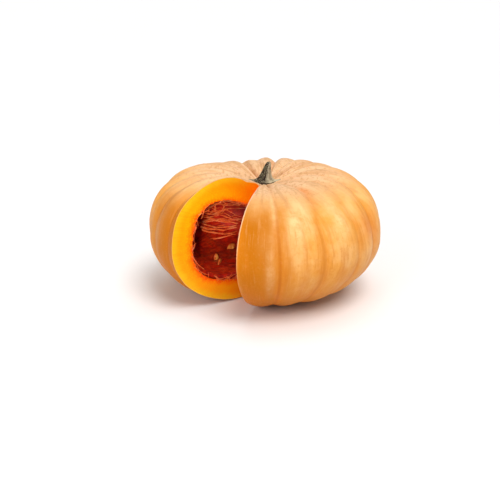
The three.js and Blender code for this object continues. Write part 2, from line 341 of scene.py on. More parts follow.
@dataclass(frozen=True)
class Skin:
    """The lobed skin of the fruit."""

    form: Form = Form(0.150, 0.0862, 0.0798, 3.23, 2.46, 1.75, 0.0218, 0.046)
    lobes: tuple[Lobe, ...] = LOBES
    first_groove: float = 19.6
    roundness: float = 0.7
    softness: float = 0.1
    swell_at_side: float = 0.4
    swell_growth: float = 0.9
    depth_side: float = 3.3 * MM
    depth_top: float = 7.0 * MM
    depth_bottom: float = 3.2 * MM
    fade_top: tuple[float, float] = (4, 28)
    fade_bottom: tuple[float, float] = (148, 172)
    flat_depth: float = 0.8 * MM
    sway: float = 0.5
    sway_waves: float = 3.0
    sway_twist: float = 3.1
    sway_ramp: tuple[float, float] = (12, 45)

    @property
    def centre(self) -> np.ndarray:
        """The fruit's centre, over the origin."""
        return np.array([0.0, 0.0, self.form.below - self.flat_depth])

    def line_at(self, azimuth: np.ndarray, tilt: np.ndarray) -> np.ndarray:
        """Azimuths that points would have if the grooves ran straight down.

        Args:
            azimuth: The points' own azimuths.
            tilt: Their tilts.

        Returns:
            One azimuth for each point.
        """
        line = azimuth % 360.0
        angle = np.radians(azimuth)
        wave = np.sin(self.sway_waves * angle + self.sway_twist * np.radians(tilt))
        sway = self.sway * wave * smoothstep(tilt, *self.sway_ramp)
        # The lean depends on the line itself, so the two settle in a few rounds.
        for _ in range(8):
            line = azimuth % 360.0 - LEAN.turn(line, tilt) - sway
        return line

    def lobe_at(self, azimuth: np.ndarray) -> tuple[np.ndarray, np.ndarray]:
        """Finds lobes by azimuth.

        Args:
            azimuth: Azimuths in degrees.

        Returns:
            The numbers of the lobes, and how far across them the azimuths lie, from 0 to 1.
        """
        widths = np.array([lobe.width for lobe in self.lobes])
        starts = np.concatenate([[0.0], np.cumsum(widths)])
        turned = (azimuth - self.first_groove) % 360.0
        number = np.clip(np.searchsorted(starts, turned, side="right") - 1, 0, len(widths) - 1)
        return number, (turned - starts[number]) / widths[number]

    def arch(self, azimuth: np.ndarray) -> np.ndarray:
        """How far up the round back of a lobe azimuths lie.

        Args:
            azimuth: Azimuths in degrees.

        Returns:
            0 in the soft bottom of a groove, rising to 1 along the middle of a lobe.
        """
        _, across = self.lobe_at(azimuth)
        square = np.sin(np.pi * across) ** 2
        lowest = self.softness**self.roundness
        power = self.roundness / 2
        rise = (square + self.softness**2) ** power - lowest
        return rise / ((1.0 + self.softness**2) ** power - lowest)

    def fade(self, tilt: np.ndarray) -> np.ndarray:
        """1 where the lobes are full, falling to 0 at the stem and underneath."""
        return smoothstep(tilt, *self.fade_top) * (1.0 - smoothstep(tilt, *self.fade_bottom))

    def reach(self, azimuth: np.ndarray, tilt: np.ndarray) -> np.ndarray:
        """Distances from the centre to the skin.

        Args:
            azimuth: Azimuths in degrees.
            tilt: Tilts in degrees.

        Returns:
            One distance for each direction.
        """
        line = self.line_at(azimuth, tilt)
        number, across = self.lobe_at(line)
        nearest = np.where(across < 0.5, number, (number + 1) % len(self.lobes))
        grooves = np.array([lobe.groove for lobe in self.lobes])[nearest]
        swells = np.array([lobe.swell for lobe in self.lobes])[number]
        rise = np.cos(np.radians(tilt))
        swell = swells * np.maximum(0.0, self.swell_at_side + self.swell_growth * rise)
        depth = (
            self.depth_side
            + self.depth_top * np.maximum(0.0, rise) ** 2
            + self.depth_bottom * np.maximum(0.0, -rise)
        )
        arch = self.arch(line)
        lobed = self.fade(tilt) * (swell * arch - grooves * depth * (1.0 - arch))
        return self.form.smooth_reach(tilt) + FRONT.shift(azimuth, tilt) + lobed

    def top_height(self, across: np.ndarray) -> np.ndarray:
        """Heights of the smooth top of the fruit.

        Args:
            across: Distances from the axis.

        Returns:
            One height over the ground for each distance.
        """
        form = self.form
        level = (1.0 - (across / form.radius) ** form.side_fullness) ** (1.0 / form.top_fullness)
        sink = form.dimple_depth * np.exp(-((across / form.dimple_width) ** 2))
        return self.centre[2] + form.above * level - sink


@dataclass(frozen=True)
class Notch:
    """The space that the wedge left: an upright inner edge, and two flat faces running out from it."""

    edge_azimuth: float = 34.2
    edge_distance: float = 17.9 * MM
    first_face: float = 20.0
    last_face: float = 340.1

    @property
    def edge(self) -> np.ndarray:
        """Where the inner edge stands, on the ground."""
        return heading(self.edge_azimuth) * self.edge_distance


@dataclass(frozen=True)
class Cavity:
    """The hollow in the middle, which follows the front's shape in part."""

    form: Form = Form(0.1215, 0.0645, 0.051, 4.5, 2.6, 2.2, 0.033, 0.057)
    front_share: float = 0.75

    def reach(self, azimuth: np.ndarray, tilt: np.ndarray) -> np.ndarray:
        """Distances from the fruit's centre to the cavity's wall at azimuths and tilts."""
        return self.form.smooth_reach(tilt) + self.front_share * FRONT.shift(azimuth, tilt)


SKIN = Skin()
NOTCH = Notch()
CAVITY = Cavity()


def directions(places: np.ndarray) -> tuple[np.ndarray, np.ndarray, np.ndarray]:
    """Turns points to azimuth, tilt and distance from the fruit's centre.

    Args:
        places: Points, one row each.

    Returns:
        Azimuths and tilts in degrees, and distances.
    """
    away = places - SKIN.centre
    distance = np.linalg.norm(away, axis=-1)
    azimuth = np.degrees(np.arctan2(away[..., 0], -away[..., 1])) % 360.0
    tilt = np.degrees(np.arccos(np.clip(away[..., 2] / np.maximum(distance, 1e-9), -1.0, 1.0)))
    return azimuth, tilt, distance


class RayFan:
    """Rays from a point on the notch's inner edge, level with the fruit's centre.

    Each ray is given by its azimuth about the inner edge and its lift over the level plane, so all
    rays of one azimuth lie in one upright plane, and the first and the last fill the cut faces.
    """

    def __init__(self, azimuth: np.ndarray, lift: np.ndarray) -> None:
        """Keeps the rays' start and directions.

        Args:
            azimuth: Azimuths about the inner edge, in degrees.
            lift: Lifts over the level plane, in degrees.
        """
        flat = np.radians(lift)[..., None]
        self.start = NOTCH.edge + np.array([0.0, 0.0, SKIN.centre[2]])
        # Straight up and down, all rays of the fan meet exactly.
        level = np.where(np.abs(lift)[..., None] > 89.999, 0.0, np.cos(flat))
        self.along = heading(azimuth) * level + np.array([0.0, 0.0, 1.0]) * np.sin(flat)

    def places(self, distance: np.ndarray) -> np.ndarray:
        """Points on the rays at distances from the start."""
        return self.start + self.along * distance[..., None]

    def cast(self, reach_of: Callable[[np.ndarray, np.ndarray], np.ndarray]) -> np.ndarray:
        """Distances at which the rays leave a form.

        Args:
            reach_of: Gives the form's reach from the fruit's centre at azimuths and tilts.

        Returns:
            One distance for each ray.
        """

        def is_within(distance: np.ndarray) -> np.ndarray:
            """Says which distances along the rays lie inside the form."""
            azimuth, tilt, away = directions(self.places(distance))
            return away < reach_of(azimuth, tilt)

        inside = np.zeros(self.along.shape[:-1])
        outside = np.full_like(inside, 2.0 * SKIN.form.radius)
        return edge_between(inside, outside, is_within, halvings=26)


def deselect() -> None:
    """Deselects every object, so that an operator acts only on what is selected after this."""
    bpy.ops.object.select_all(action="DESELECT")


def select_only(piece: bpy.types.Object) -> None:
    """Makes a piece the only selected one, and the active one.

    Args:
        piece: The object.
    """
    deselect()
    piece.select_set(True)
    bpy.context.view_layer.objects.active = piece


def vertices_of(piece: bpy.types.Object) -> np.ndarray:
    """Reads the places of a piece's vertices.

    Args:
        piece: The object.

    Returns:
        One row for each vertex.
    """
    flat = np.empty(3 * len(piece.data.vertices))
    piece.data.vertices.foreach_get("co", flat)
    return flat.reshape(-1, 3)


def add_sheet(name: str, columns: int, rows: int) -> tuple[bpy.types.Object, np.ndarray, np.ndarray]:
    """Adds a flat grid that is to be wrapped over a surface.

    Args:
        name: The object's name.
        columns: Faces along the sheet.
        rows: Faces up the sheet.

    Returns:
        The object, and each vertex's place along and up the sheet, from 0 to 1.
    """
    deselect()
    bpy.ops.mesh.primitive_grid_add(x_subdivisions=columns, y_subdivisions=rows, size=2.0)
    sheet = bpy.context.object
    sheet.name = name
    sheet.data.name = name
    flat = vertices_of(sheet)
    along = np.rint((flat[:, 0] + 1) / 2 * columns) / columns
    up = np.rint((flat[:, 1] + 1) / 2 * rows) / rows
    return sheet, along, up


def wrap(sheet: bpy.types.Object, places: np.ndarray) -> None:
    """Moves a sheet's vertices to their places.

    Args:
        sheet: The object whose mesh is moved.
        places: One row for each vertex.
    """
    sheet.data.vertices.foreach_set("co", np.ascontiguousarray(places, dtype=np.float32).ravel())
    sheet.data.update()


def mark(piece: bpy.types.Object, name: str, values: np.ndarray) -> None:
    """Stores a value or a vector on each vertex for the materials to read.

    Args:
        piece: The object to mark.
        name: The attribute's name.
        values: One number or one row of three for each vertex.
    """
    kind, key = ("FLOAT_VECTOR", "vector") if values.ndim == 2 else ("FLOAT", "value")
    layer = piece.data.attributes.new(name, kind, "POINT")
    layer.data.foreach_set(key, np.ascontiguousarray(values, dtype=np.float32).ravel())


def join(pieces: list[bpy.types.Object], name: str, merge: float | None = None) -> bpy.types.Object:
    """Joins objects into one, and closes the seams between them.

    Args:
        pieces: The objects, of which the first one stays.
        name: The joined object's name.
        merge: Distance under which vertices become one, or None to leave them.

    Returns:
        The joined object.
    """
    deselect()
    for piece in pieces:
        piece.select_set(True)
    bpy.context.view_layer.objects.active = pieces[0]
    if len(pieces) > 1:
        bpy.ops.object.join()
    whole = bpy.context.object
    whole.name = name
    whole.data.name = name
    if merge is not None:
        bpy.ops.object.mode_set(mode="EDIT")
        bpy.ops.mesh.select_all(action="SELECT")
        bpy.ops.mesh.remove_doubles(threshold=merge)
        bpy.ops.mesh.dissolve_degenerate(threshold=merge)
        bpy.ops.object.mode_set(mode="OBJECT")
    return whole


def smooth(piece: bpy.types.Object, angle: float) -> None:
    """Shades a piece smooth, and leaves edges sharper than an angle in degrees sharp."""
    select_only(piece)
    bpy.ops.object.shade_smooth_by_angle(angle=math.radians(angle))


def carried(piece: bpy.types.Object, slot: str, *nodes: str) -> None:
    """Hangs a piece under the root, and hides the model's nodes that it stands for.

    Args:
        piece: The object.
        slot: The record's material slot; not used.
        *nodes: Names of the model's nodes that the piece replaces.
    """
    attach(piece, "root")
    if nodes:
        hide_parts(*nodes)
    log.info("%s: %d faces", piece.name, len(piece.data.polygons))


class PatternKind(Enum):
    """The kinds of pattern, by Blender's node."""

    NOISE = "ShaderNodeTexNoise"
    CELLS = "ShaderNodeTexVoronoi"


class Course(Enum):
    """How a ramp runs between its ends, in Blender's word."""

    SMOOTH = "SMOOTHSTEP"
    STRAIGHT = "LINEAR"


@dataclass(frozen=True)
class Pattern:
    """A pattern over a surface: what it follows, what its node holds, and how it is stretched."""

    follows: str
    values: dict[str, float]
    mapping: dict[str, tuple[float, float, float]] | None = None
    kind: PatternKind = PatternKind.NOISE


@dataclass(frozen=True)
class Ramp:
    """A share that runs from least to most while its source runs from low to high."""

    source: str
    low: float
    high: float
    least: float
    most: float
    course: Course = Course.SMOOTH


@dataclass(frozen=True)
class Layer:
    """A colour over those before it, as thick as its ramp and its masks say."""

    colour: str
    ramp: Ramp | None = None
    masks: tuple[str, ...] = ()


class Finish:
    """A finish given as tables, from which one method builds the material.

    Attributes:
        name: The material's name.
        marks: What it reads from the mesh. A mark whose name ends in _place is a vector.
        sums: A name, a source, its factor, and the source or number that is added.
        masks: Named shares that hold layers back. The one named roughness goes to the shader.
        relief: The bump's source, strength and depth.
        sockets: What the shader holds all over the surface.
    """

    name: str
    marks: ClassVar[tuple[str, ...]]
    sums: ClassVar[tuple[tuple[str, str, float, float | str], ...]] = ()
    masks: ClassVar[dict[str, Ramp]] = {}
    relief: ClassVar[tuple[str, float, float]]
    sockets: ClassVar[dict[str, object]]

    def patterns(self) -> dict[str, Pattern]:
        """The patterns, by name."""
        raise NotImplementedError

    def layers(self) -> tuple[Layer, ...]:
        """The colours from the ground up, of which the first covers all."""
        raise NotImplementedError

    def material(self) -> bpy.types.Material:
        """Builds the material from the tables.

        Returns:
            The material.
        """
        material, tree = new_material(self.name)
        read = {"object": add_node(tree, "ShaderNodeTexCoord").outputs["Object"]}
        for name in self.marks:
            output = "Vector" if name.endswith("_place") else "Fac"
            read[name] = add_node(tree, "ShaderNodeAttribute", attribute_name=name).outputs[output]
        for name, pattern in self.patterns().items():
            place = {"Vector": read[pattern.follows]}
            if pattern.mapping:
                mapped = add_node(tree, "ShaderNodeMapping", pattern.mapping, place)
                place = {"Vector": mapped.outputs["Vector"]}
            read[name] = add_node(tree, pattern.kind.value, pattern.values, place).outputs[0]
        for name, source, factor, added in self.sums:
            values, links = {1: factor}, {0: read[source]}
            if added in read:
                links[2] = read[added]
            else:
                values[2] = added
            read[name] = add_node(tree, "ShaderNodeMath", values, links, operation="MULTIPLY_ADD").outputs[0]
        ground, *layers = self.layers()
        ramps = self.masks | {number: layer.ramp for number, layer in enumerate(layers)}
        share = {
            name: add_node(
                tree,
                "ShaderNodeMapRange",
                {"From Min": ramp.low, "From Max": ramp.high, "To Min": ramp.least, "To Max": ramp.most},
                {"Value": read[ramp.source]},
                interpolation_type=ramp.course.value,
            ).outputs["Result"]
            for name, ramp in ramps.items()
        }
        colour = add_node(tree, "ShaderNodeRGB").outputs["Color"]
        colour.default_value = hex_colour(ground.colour)
        for number, layer in enumerate(layers):
            thick = share[number]
            for mask in layer.masks:
                factors = {0: thick, 1: share[mask]}
                thick = add_node(tree, "ShaderNodeMath", {}, factors, operation="MULTIPLY").outputs[0]
            top = {7: hex_colour(layer.colour)}
            colour = add_node(tree, "ShaderNodeMix", top, {0: thick, 6: colour}, data_type="RGBA").outputs[2]
        source, strength, depth = self.relief
        values = {"Strength": strength, "Distance": depth}
        bump = add_node(tree, "ShaderNodeBump", values, {"Height": read[source]}).outputs["Normal"]
        links = {"Base Color": colour, "Normal": bump}
        if "roughness" in share:
            links["Roughness"] = share["roughness"]
        shader = add_node(tree, "ShaderNodeBsdfPrincipled", self.sockets, links)
        add_node(tree, "ShaderNodeOutputMaterial", links={"Surface": shader.outputs["BSDF"]})
        return material


@dataclass(frozen=True)
class WaxyRind(Finish):
    """Ripe rind under a thin film of wax: golden lobes, deeper grooves and a beige, mottled crown.

    Its broad, soft shine comes from the wax and from painted highlights on the lobes beside the notch and
    along the cut lip, and its colour drifts from lobe to lobe. Shade is painted in too: low down, beside the
    cuts and in the grooves.
    """

    name: str = "waxy_rind"
    lobe: str = "#EAA24A"
    lobe_pale: str = "#FAD79C"
    # Painted shade for the lower skin.
    shaded_underside: str = "#CE8833"
    # Partly the grooves' own deeper orange, partly painted shade in them.
    groove: str = "#D27D22"
    # Painted shade along the bottom of each groove.
    groove_shade_line: str = "#BC6416"
    crown: str = "#E8BE94"
    crown_tan: str = "#C8925C"
    # Painted shade for the skin beside the cut faces.
    shaded_by_cut: str = "#BE6A00"
    # Painted highlight along the cut edge of the skin.
    lip_highlight: str = "#FBDDB8"
    streak: str = "#CE7826"
    light_streak: str = "#F5C484"
    speck: str = "#F8CF98"
    flush: str = "#DC7C2E"
    scar: str = "#B07A44"
    streak_width: float = 3.2 * MM
    streak_length: float = 34 * MM
    patch_size: float = 45 * MM
    mottle_size: float = 4.5 * MM
    speck_size: float = 3.2 * MM
    # Real pores are about 0.3 mm, too fine to show.
    pore_size: float = 0.9 * MM

    marks = (
        "skin_place", "groove", "rise", "from_cut", "from_lip", "groove_shade_share", "bloom_and_highlight", "flush",
    )  # fmt: skip
    sums = (("uneven_skin", "streaks", 0.55, "pores"),)
    masks = {
        "groove_shade_share": Ramp("groove_shade_share", 0.0, 1.0, 0.0, 1.0),
        "on_crown": Ramp("rise", 0.36, 0.80, 0.0, 0.95),
        "off_crown": Ramp("rise", -0.02, 0.6, 1.0, 0.2),
        "below_crown": Ramp("rise", 0.30, 0.62, 1.0, 0.0),
        # Painted highlight on the cut lip, stronger higher up.
        "lip_highlight_share": Ramp("rise", -0.1, 0.5, 0.15, 1.0),
        "uneven": Ramp("blotches", 0.38, 0.58, 0.5, 1.0),
        "roughness": Ramp("blotches", 0.3, 0.7, 0.35, 0.52, Course.STRAIGHT),
    }
    relief = ("uneven_skin", 0.35, 0.6 * MM)
    sockets = {
        "IOR": 1.45,
        "Specular IOR Level": 0.11,
        "Specular Tint": hex_colour("#FFC888"),
        "Coat Weight": 0.02,
        "Coat Roughness": 0.35,
        "Subsurface Weight": 0.06,
        "Subsurface Scale": 4 * MM,
        "Subsurface Radius": (1.0, 0.45, 0.15),
    }

    def patterns(self) -> dict[str, Pattern]:
        """Streaks and bands down the fruit, patches of three sizes, specks and pores.

        Returns:
            The patterns, by name.
        """
        thin = {"Scale": (1 / self.streak_width, 1 / self.streak_length, 1 / self.streak_length)}
        wide = {
            "Scale": (0.3 / self.streak_width, 0.5 / self.streak_length, 1.0),
            "Location": (3.0, 7.0, 0.0),
        }
        blotch_size = self.patch_size / 3.5
        cells = PatternKind.CELLS
        return {
            "streaks": Pattern("skin_place", {"Scale": 1.0, "Detail": 4.0, "Roughness": 0.65}, thin),
            "bands": Pattern("skin_place", {"Scale": 1.0, "Detail": 3.0, "Roughness": 0.55}, wide),
            "patches": Pattern("object", {"Scale": 1 / self.patch_size, "Detail": 4.0, "Roughness": 0.55}),
            "blotches": Pattern("object", {"Scale": 1 / blotch_size, "Detail": 5.0, "Roughness": 0.65}),
            "mottle": Pattern("object", {"Scale": 1 / self.mottle_size, "Detail": 4.0, "Roughness": 0.7}),
            "specks": Pattern("object", {"Scale": 1 / self.speck_size, "Randomness": 1.0}, kind=cells),
            "pores": Pattern("object", {"Scale": 1 / self.pore_size, "Detail": 2.0, "Roughness": 0.5}),
        }

    def layers(self) -> tuple[Layer, ...]:
        """The golden lobes, and on them the crown, the grooves with painted shade, paler wax with painted
        highlights, the marks of growth, painted shade low down and by the cuts, and the painted highlight on
        the cut lip.
        """
        return (
            Layer(self.lobe),
            Layer(self.lobe_pale, Ramp("patches", 0.42, 0.66, 0.0, 0.36)),
            # Painted shade: the skin is darker towards the bottom, where less light falls.
            Layer(self.shaded_underside, Ramp("rise", 0.22, -0.5, 0.0, 0.95)),
            Layer(self.streak, Ramp("bands", 0.48, 0.72, 0.0, 0.5)),
            Layer(self.crown, Ramp("rise", 0.36, 0.80, 0.0, 0.95)),
            Layer(self.crown_tan, Ramp("bands", 0.47, 0.6, 0.0, 0.55), ("on_crown",)),
            Layer(self.crown_tan, Ramp("mottle", 0.5, 0.36, 0.0, 0.7), ("on_crown",)),
            # Painted shade: below the crown, the skin beside the cut faces is darker orange, as it curves
            # away from the light.
            Layer(self.shaded_by_cut, Ramp("from_cut", 92 * MM, 12 * MM, 0.0, 0.95), ("below_crown",)),
            # Partly the grooves' own deeper orange and partly painted shade in them, fullest beside the
            # notch.
            Layer(self.groove, Ramp("groove", 0.36, 0.92, 0.0, 0.8), ("off_crown", "groove_shade_share")),
            Layer(self.flush, Ramp("flush", 0.05, 0.95, 0.0, 0.8)),
            # Painted highlights on the front lobes, and paler wax at random on the others.
            Layer(self.lobe_pale, Ramp("bloom_and_highlight", 0.05, 0.95, 0.0, 0.9), ("uneven",)),
            Layer(self.streak, Ramp("mottle", 0.5, 0.32, 0.0, 0.32), ("off_crown",)),
            Layer(self.streak, Ramp("streaks", 0.5, 0.68, 0.0, 0.45), ("off_crown",)),
            Layer(self.light_streak, Ramp("streaks", 0.46, 0.26, 0.0, 0.16)),
            Layer(self.light_streak, Ramp("mottle", 0.5, 0.85, 0.0, 0.12)),
            # Painted shade: a darker line along the bottom of each groove.
            Layer(self.groove_shade_line, Ramp("groove", 0.84, 1.0, 0.0, 0.6), ("off_crown", "groove_shade_share")),
            # Painted highlight: a thin pale line where the skin's cut edge catches the light, stronger higher
            # up.
            Layer(self.lip_highlight, Ramp("from_lip", 1.8 * MM, 0.6 * MM, 0.0, 0.6), ("lip_highlight_share",)),
            Layer(self.speck, Ramp("specks", 0.22, 0.08, 0.0, 0.03)),
            Layer(self.scar, Ramp("blotches", 0.66, 0.78, 0.0, 0.35)),
            Layer(self.scar, Ramp("rise", -0.988, -0.996, 0.0, 0.9)),
        )


@dataclass(frozen=True)
class CutFlesh(Finish):
    """Raw flesh where a knife went through: moist, a little translucent, with fine fibres.

    Under a thin pale skin it is yellow, then orange, and red-orange towards the cavity and the stem.
    """

    name: str = "cut_flesh"
    skin_line: str = "#F0B45C"
    under_skin: str = "#F8B816"
    middle: str = "#FC9A04"
    deep: str = "#FA6C02"
    inner: str = "#EE4A06"
    skin_thickness: float = 0.9 * MM
    # Real fibres are about a third as wide, too fine to show.
    fibre_width: float = 0.9 * MM
    fibre_length: float = 9 * MM
    fleck_size: float = 2.2 * MM
    cloud_size: float = 14.2857 * MM

    marks = ("depth", "to_cavity", "to_axis", "skin_place")
    sums = (
        ("rag", "cloud", 10 * MM, -8 * MM),
        ("drift", "flecks", 6 * MM, "rag"),
        ("wavy_depth", "drift", 1.0, "depth"),
        ("wavy_cavity", "drift", 1.0, "to_cavity"),
        ("grain", "flecks", 1.0, "fibres"),
    )
    relief = ("grain", 0.4, 0.6 * MM)
    sockets = {
        "Roughness": 0.36,
        "IOR": 1.38,
        "Specular IOR Level": 0.2,
        "Subsurface Weight": 0.15,
        "Subsurface Scale": 4 * MM,
        "Subsurface Radius": (1.0, 0.4, 0.08),
    }

    def patterns(self) -> dict[str, Pattern]:
        """Fibres from the skin inwards, clouds of deeper colour, and flecks.

        Returns:
            The patterns, by name.
        """
        stretch = {"Scale": (1 / self.fibre_length, 1 / self.fibre_width, 1.0)}
        return {
            "fibres": Pattern("skin_place", {"Scale": 1.0, "Detail": 3.0, "Roughness": 0.6}, stretch),
            "cloud": Pattern("object", {"Scale": 1 / self.cloud_size, "Detail": 4.0, "Roughness": 0.6}),
            "flecks": Pattern("object", {"Scale": 1 / self.fleck_size, "Detail": 3.0}),
        }

    def layers(self) -> tuple[Layer, ...]:
        """Yellow under the skin, and deeper orange inwards, with fibres, flecks and the skin's line."""
        return (
            Layer(self.under_skin),
            Layer(self.middle, Ramp("wavy_depth", 2 * MM, 13 * MM, 0.0, 1.0)),
            Layer(self.deep, Ramp("to_axis", 75 * MM, 20 * MM, 0.0, 0.9)),
            Layer(self.deep, Ramp("wavy_cavity", 12 * MM, 3 * MM, 0.0, 0.85)),
            Layer(self.inner, Ramp("wavy_cavity", 5 * MM, 0.5 * MM, 0.0, 0.9)),
            Layer(self.deep, Ramp("fibres", 0.5, 0.68, 0.0, 0.34)),
            Layer(self.under_skin, Ramp("flecks", 0.54, 0.66, 0.0, 0.28)),
            Layer(self.skin_line, Ramp("depth", self.skin_thickness, 0.55 * self.skin_thickness, 0.0, 1.0)),
        )


@dataclass(frozen=True)
class WetPulp(Finish):
    """Wet fibrous pulp, orange along its fibres with a wet shine, and dark red in random clumps and as
    painted shade where it lies recessed.
    """

    name: str = "wet_pulp"
    # Painted shade in the recesses, and the colour of random clumps.
    hollow: str = "#8E0C08"
    body: str = "#B81E06"
    fibre: str = "#DC4C1A"
    fibre_width: float = 1.1 * MM
    fibre_length: float = 22 * MM
    clump_size: float = 9.0909 * MM

    marks = ("recess_shade",)
    sums = (("low", "recess_shade", 0.35, "clumps"), ("grain", "clumps", 1.0, "fibres"))
    relief = ("grain", 0.6, 1.5 * MM)
    sockets = {
        "Roughness": 0.38,
        "IOR": 1.36,
        "Specular IOR Level": 0.45,
        "Subsurface Weight": 0.15,
        "Subsurface Scale": 4 * MM,
        "Subsurface Radius": (1.0, 0.25, 0.08),
    }

    def patterns(self) -> dict[str, Pattern]:
        """Level fibres that waver a little, and clumps.

        Returns:
            The patterns, by name.
        """
        stretch = {"Scale": (1 / self.fibre_length, 1 / self.fibre_length, 1 / self.fibre_width)}
        wavering = {"Scale": 1.0, "Detail": 4.0, "Roughness": 0.6, "Distortion": 0.6}
        return {
            "fibres": Pattern("object", wavering, stretch),
            "clumps": Pattern("object", {"Scale": 1 / self.clump_size, "Detail": 4.0, "Roughness": 0.6}),
        }

    def layers(self) -> tuple[Layer, ...]:
        """Dark red where painted shade falls in the recesses and in random clumps, the red body over it, and
        the paler fibres.
        """
        return (
            Layer(self.hollow),
            # Painted shade: the dark colour shows where the lining lies recessed, mixed with random clumps.
            Layer(self.body, Ramp("low", 0.72, 0.48, 0.0, 1.0)),
            Layer(self.fibre, Ramp("fibres", 0.5, 0.7, 0.0, 0.7)),
        )


@dataclass(frozen=True)
class CorkyStem(Finish):
    """A dried stalk: grey-buff cork along its ridges, dark brown and a little green in its furrows.

    Dry cork scatters the light, so it has almost no shine. Its lit side is painted paler and its other side
    darker, with a painted shadow under the foot's rim.
    """

    name: str = "corky_stem"
    ridge: str = "#BDB094"
    side: str = "#8C7C5A"
    # The furrows' own dark brown, also used for painted shade and painted shadow.
    furrow_and_shade: str = "#261B11"
    green: str = "#848A66"
    foot: str = "#CCBE9C"
    # Real fibres are about 0.2 mm wide, too fine to show.
    fibre_width: float = 0.7 * MM
    fibre_length: float = 9 * MM
    patch_size: float = 4.54545 * MM
    fleck_size: float = 1.428571 * MM

    marks = ("ridge", "stem_place", "height", "lit_side")
    # Painted light and shade: the side towards the light is paler, the other side takes darker marks.
    masks = {
        "lit_side": Ramp("lit_side", 0.1, 0.7, 0.1, 1.0),
        "shaded_side": Ramp("lit_side", 0.2, 1.0, 1.0, 0.5),
    }
    relief = ("fibres", 0.8, 0.8 * MM)
    sockets = {"Roughness": 0.82, "IOR": 1.5, "Specular IOR Level": 0.25}

    def patterns(self) -> dict[str, Pattern]:
        """Fibres up the stalk, patches, and flecks.

        Returns:
            The patterns, by name.
        """
        stretch = {"Scale": (1 / self.fibre_width, 1 / self.fibre_length, 1.0)}
        return {
            "fibres": Pattern("stem_place", {"Scale": 1.0, "Detail": 4.0, "Roughness": 0.65}, stretch),
            "patches": Pattern("object", {"Scale": 1 / self.patch_size, "Detail": 3.0, "Roughness": 0.6}),
            "flecks": Pattern("object", {"Scale": 1 / self.fleck_size, "Detail": 2.0, "Roughness": 0.6}),
        }

    def layers(self) -> tuple[Layer, ...]:
        """Dark furrows, green and buff sides, ridges and foot painted paler on the lit side, scabs and dark
        fibres painted heavier on the shaded side, flecks, and the painted shadow at the foot's rim.
        """
        return (
            Layer(self.furrow_and_shade),
            Layer(self.side, Ramp("ridge", 0.15, 0.6, 0.0, 0.9), ("lit_side",)),
            Layer(self.green, Ramp("patches", 0.5, 0.7, 0.0, 0.4)),
            Layer(self.ridge, Ramp("lit_side", 0.2, 0.8, 0.0, 0.8)),
            Layer(self.ridge, Ramp("ridge", 0.3, 0.9, 0.35, 1.0), ("lit_side",)),
            Layer(self.foot, Ramp("height", 6.5 * MM, 1.6 * MM, 0.0, 0.75), ("lit_side",)),
            Layer(self.furrow_and_shade, Ramp("fibres", 0.54, 0.38, 0.0, 0.9), ("shaded_side",)),
            Layer(self.furrow_and_shade, Ramp("patches", 0.52, 0.40, 0.0, 0.9), ("shaded_side",)),
            Layer(self.foot, Ramp("flecks", 0.59, 0.66, 0.0, 0.7)),
            # Painted shadow: a dark line at the foot's rim, where the foot stands proud of the skin.
            Layer(self.furrow_and_shade, Ramp("height", 1.7 * MM, 0.9 * MM, 0.0, 0.85)),
        )


@dataclass(frozen=True)
class SeedCoat(Finish):
    """A fresh seed in its thin wet film: cream under a stain of orange pulp, darker at the rim."""

    name: str = "seed_coat"
    face: str = "#F2B050"
    rim: str = "#D4702E"
    film: str = "#C9501E"
    stain_size: float = 6.25 * MM

    marks = ("rim",)
    relief = ("stain", 0.3, 0.4 * MM)
    sockets = {"Roughness": 0.28, "IOR": 1.4, "Specular IOR Level": 0.35, "Coat Weight": 0.1}

    def patterns(self) -> dict[str, Pattern]:
        """The stain of the pulp."""
        return {"stain": Pattern("object", {"Scale": 1 / self.stain_size, "Detail": 4.0, "Roughness": 0.65})}

    def layers(self) -> tuple[Layer, ...]:
        """The cream face, its darker rim and the film over both."""
        return (
            Layer(self.face),
            Layer(self.rim, Ramp("rim", 0.55, 0.95, 0.0, 0.9)),
            Layer(self.film, Ramp("stain", 0.4, 0.62, 0.3, 0.95)),
        )


def dress(piece: bpy.types.Object, finish: Finish, angle: float) -> None:
    """Shades a piece smooth and gives it one finish.

    Args:
        piece: The object.
        finish: Its finish.
        angle: Edges sharper than this, in degrees, stay sharp.
    """
    smooth(piece, angle)
    piece.data.materials.clear()
    piece.data.materials.append(finish.material())


@dataclass(frozen=True)
class SkinSpot:
    """A spot on the skin for painted highlights, paler wax and redder skin: azimuth, tilt, spread each way in
    degrees, and strength.
    """

    azimuth: float
    tilt: float
    wide: float
    high: float
    share: float

    def share_at(self, azimuth: np.ndarray, tilt: np.ndarray) -> np.ndarray:
        """How thick the bloom is at azimuths and tilts."""
        turned = turn_from(azimuth, self.azimuth)
        return self.share * np.exp(-((turned / self.wide) ** 2) - ((tilt - self.tilt) / self.high) ** 2)


# Painted highlights on the lobes beside the notch: paler colour where the light shines back.
FRONT_HIGHLIGHTS = tuple(
    SkinSpot(*numbers)
    for numbers in (
        (38.6, 61, 2.2, 14, 0.55), (48.0, 71, 4.6, 8, 0.68), (52.0, 60, 5.0, 9, 0.4),
        (56.0, 67, 3.0, 11, 0.4), (74.5, 60, 5.5, 8, 0.45), (73.0, 73, 5.5, 8, 0.62),
        (36.0, 92, 2.6, 16, 0.42), (50.0, 101, 6.0, 5, 0.25), (93.0, 62, 4.0, 8, 0.3),
        (48.0, 86, 5.0, 9, 0.3), (28.0, 62, 4.0, 9, 0.3), (330.0, 82, 6.0, 10, 0.3),
        (338.0, 65, 5.0, 10, 0.18),
    )
)  # fmt: skip

# Where the skin there is redder, in the same numbers.
FRONT_FLUSH = tuple(
    SkinSpot(*numbers)
    for numbers in (
        (71.0, 48, 4.0, 7, 0.6), (66.0, 57, 3.0, 8, 0.45), (90.0, 78, 7.0, 8, 0.6),
        (100.0, 82, 6.0, 14, 0.5), (322.0, 52, 12.0, 8, 0.35),
    )
)  # fmt: skip


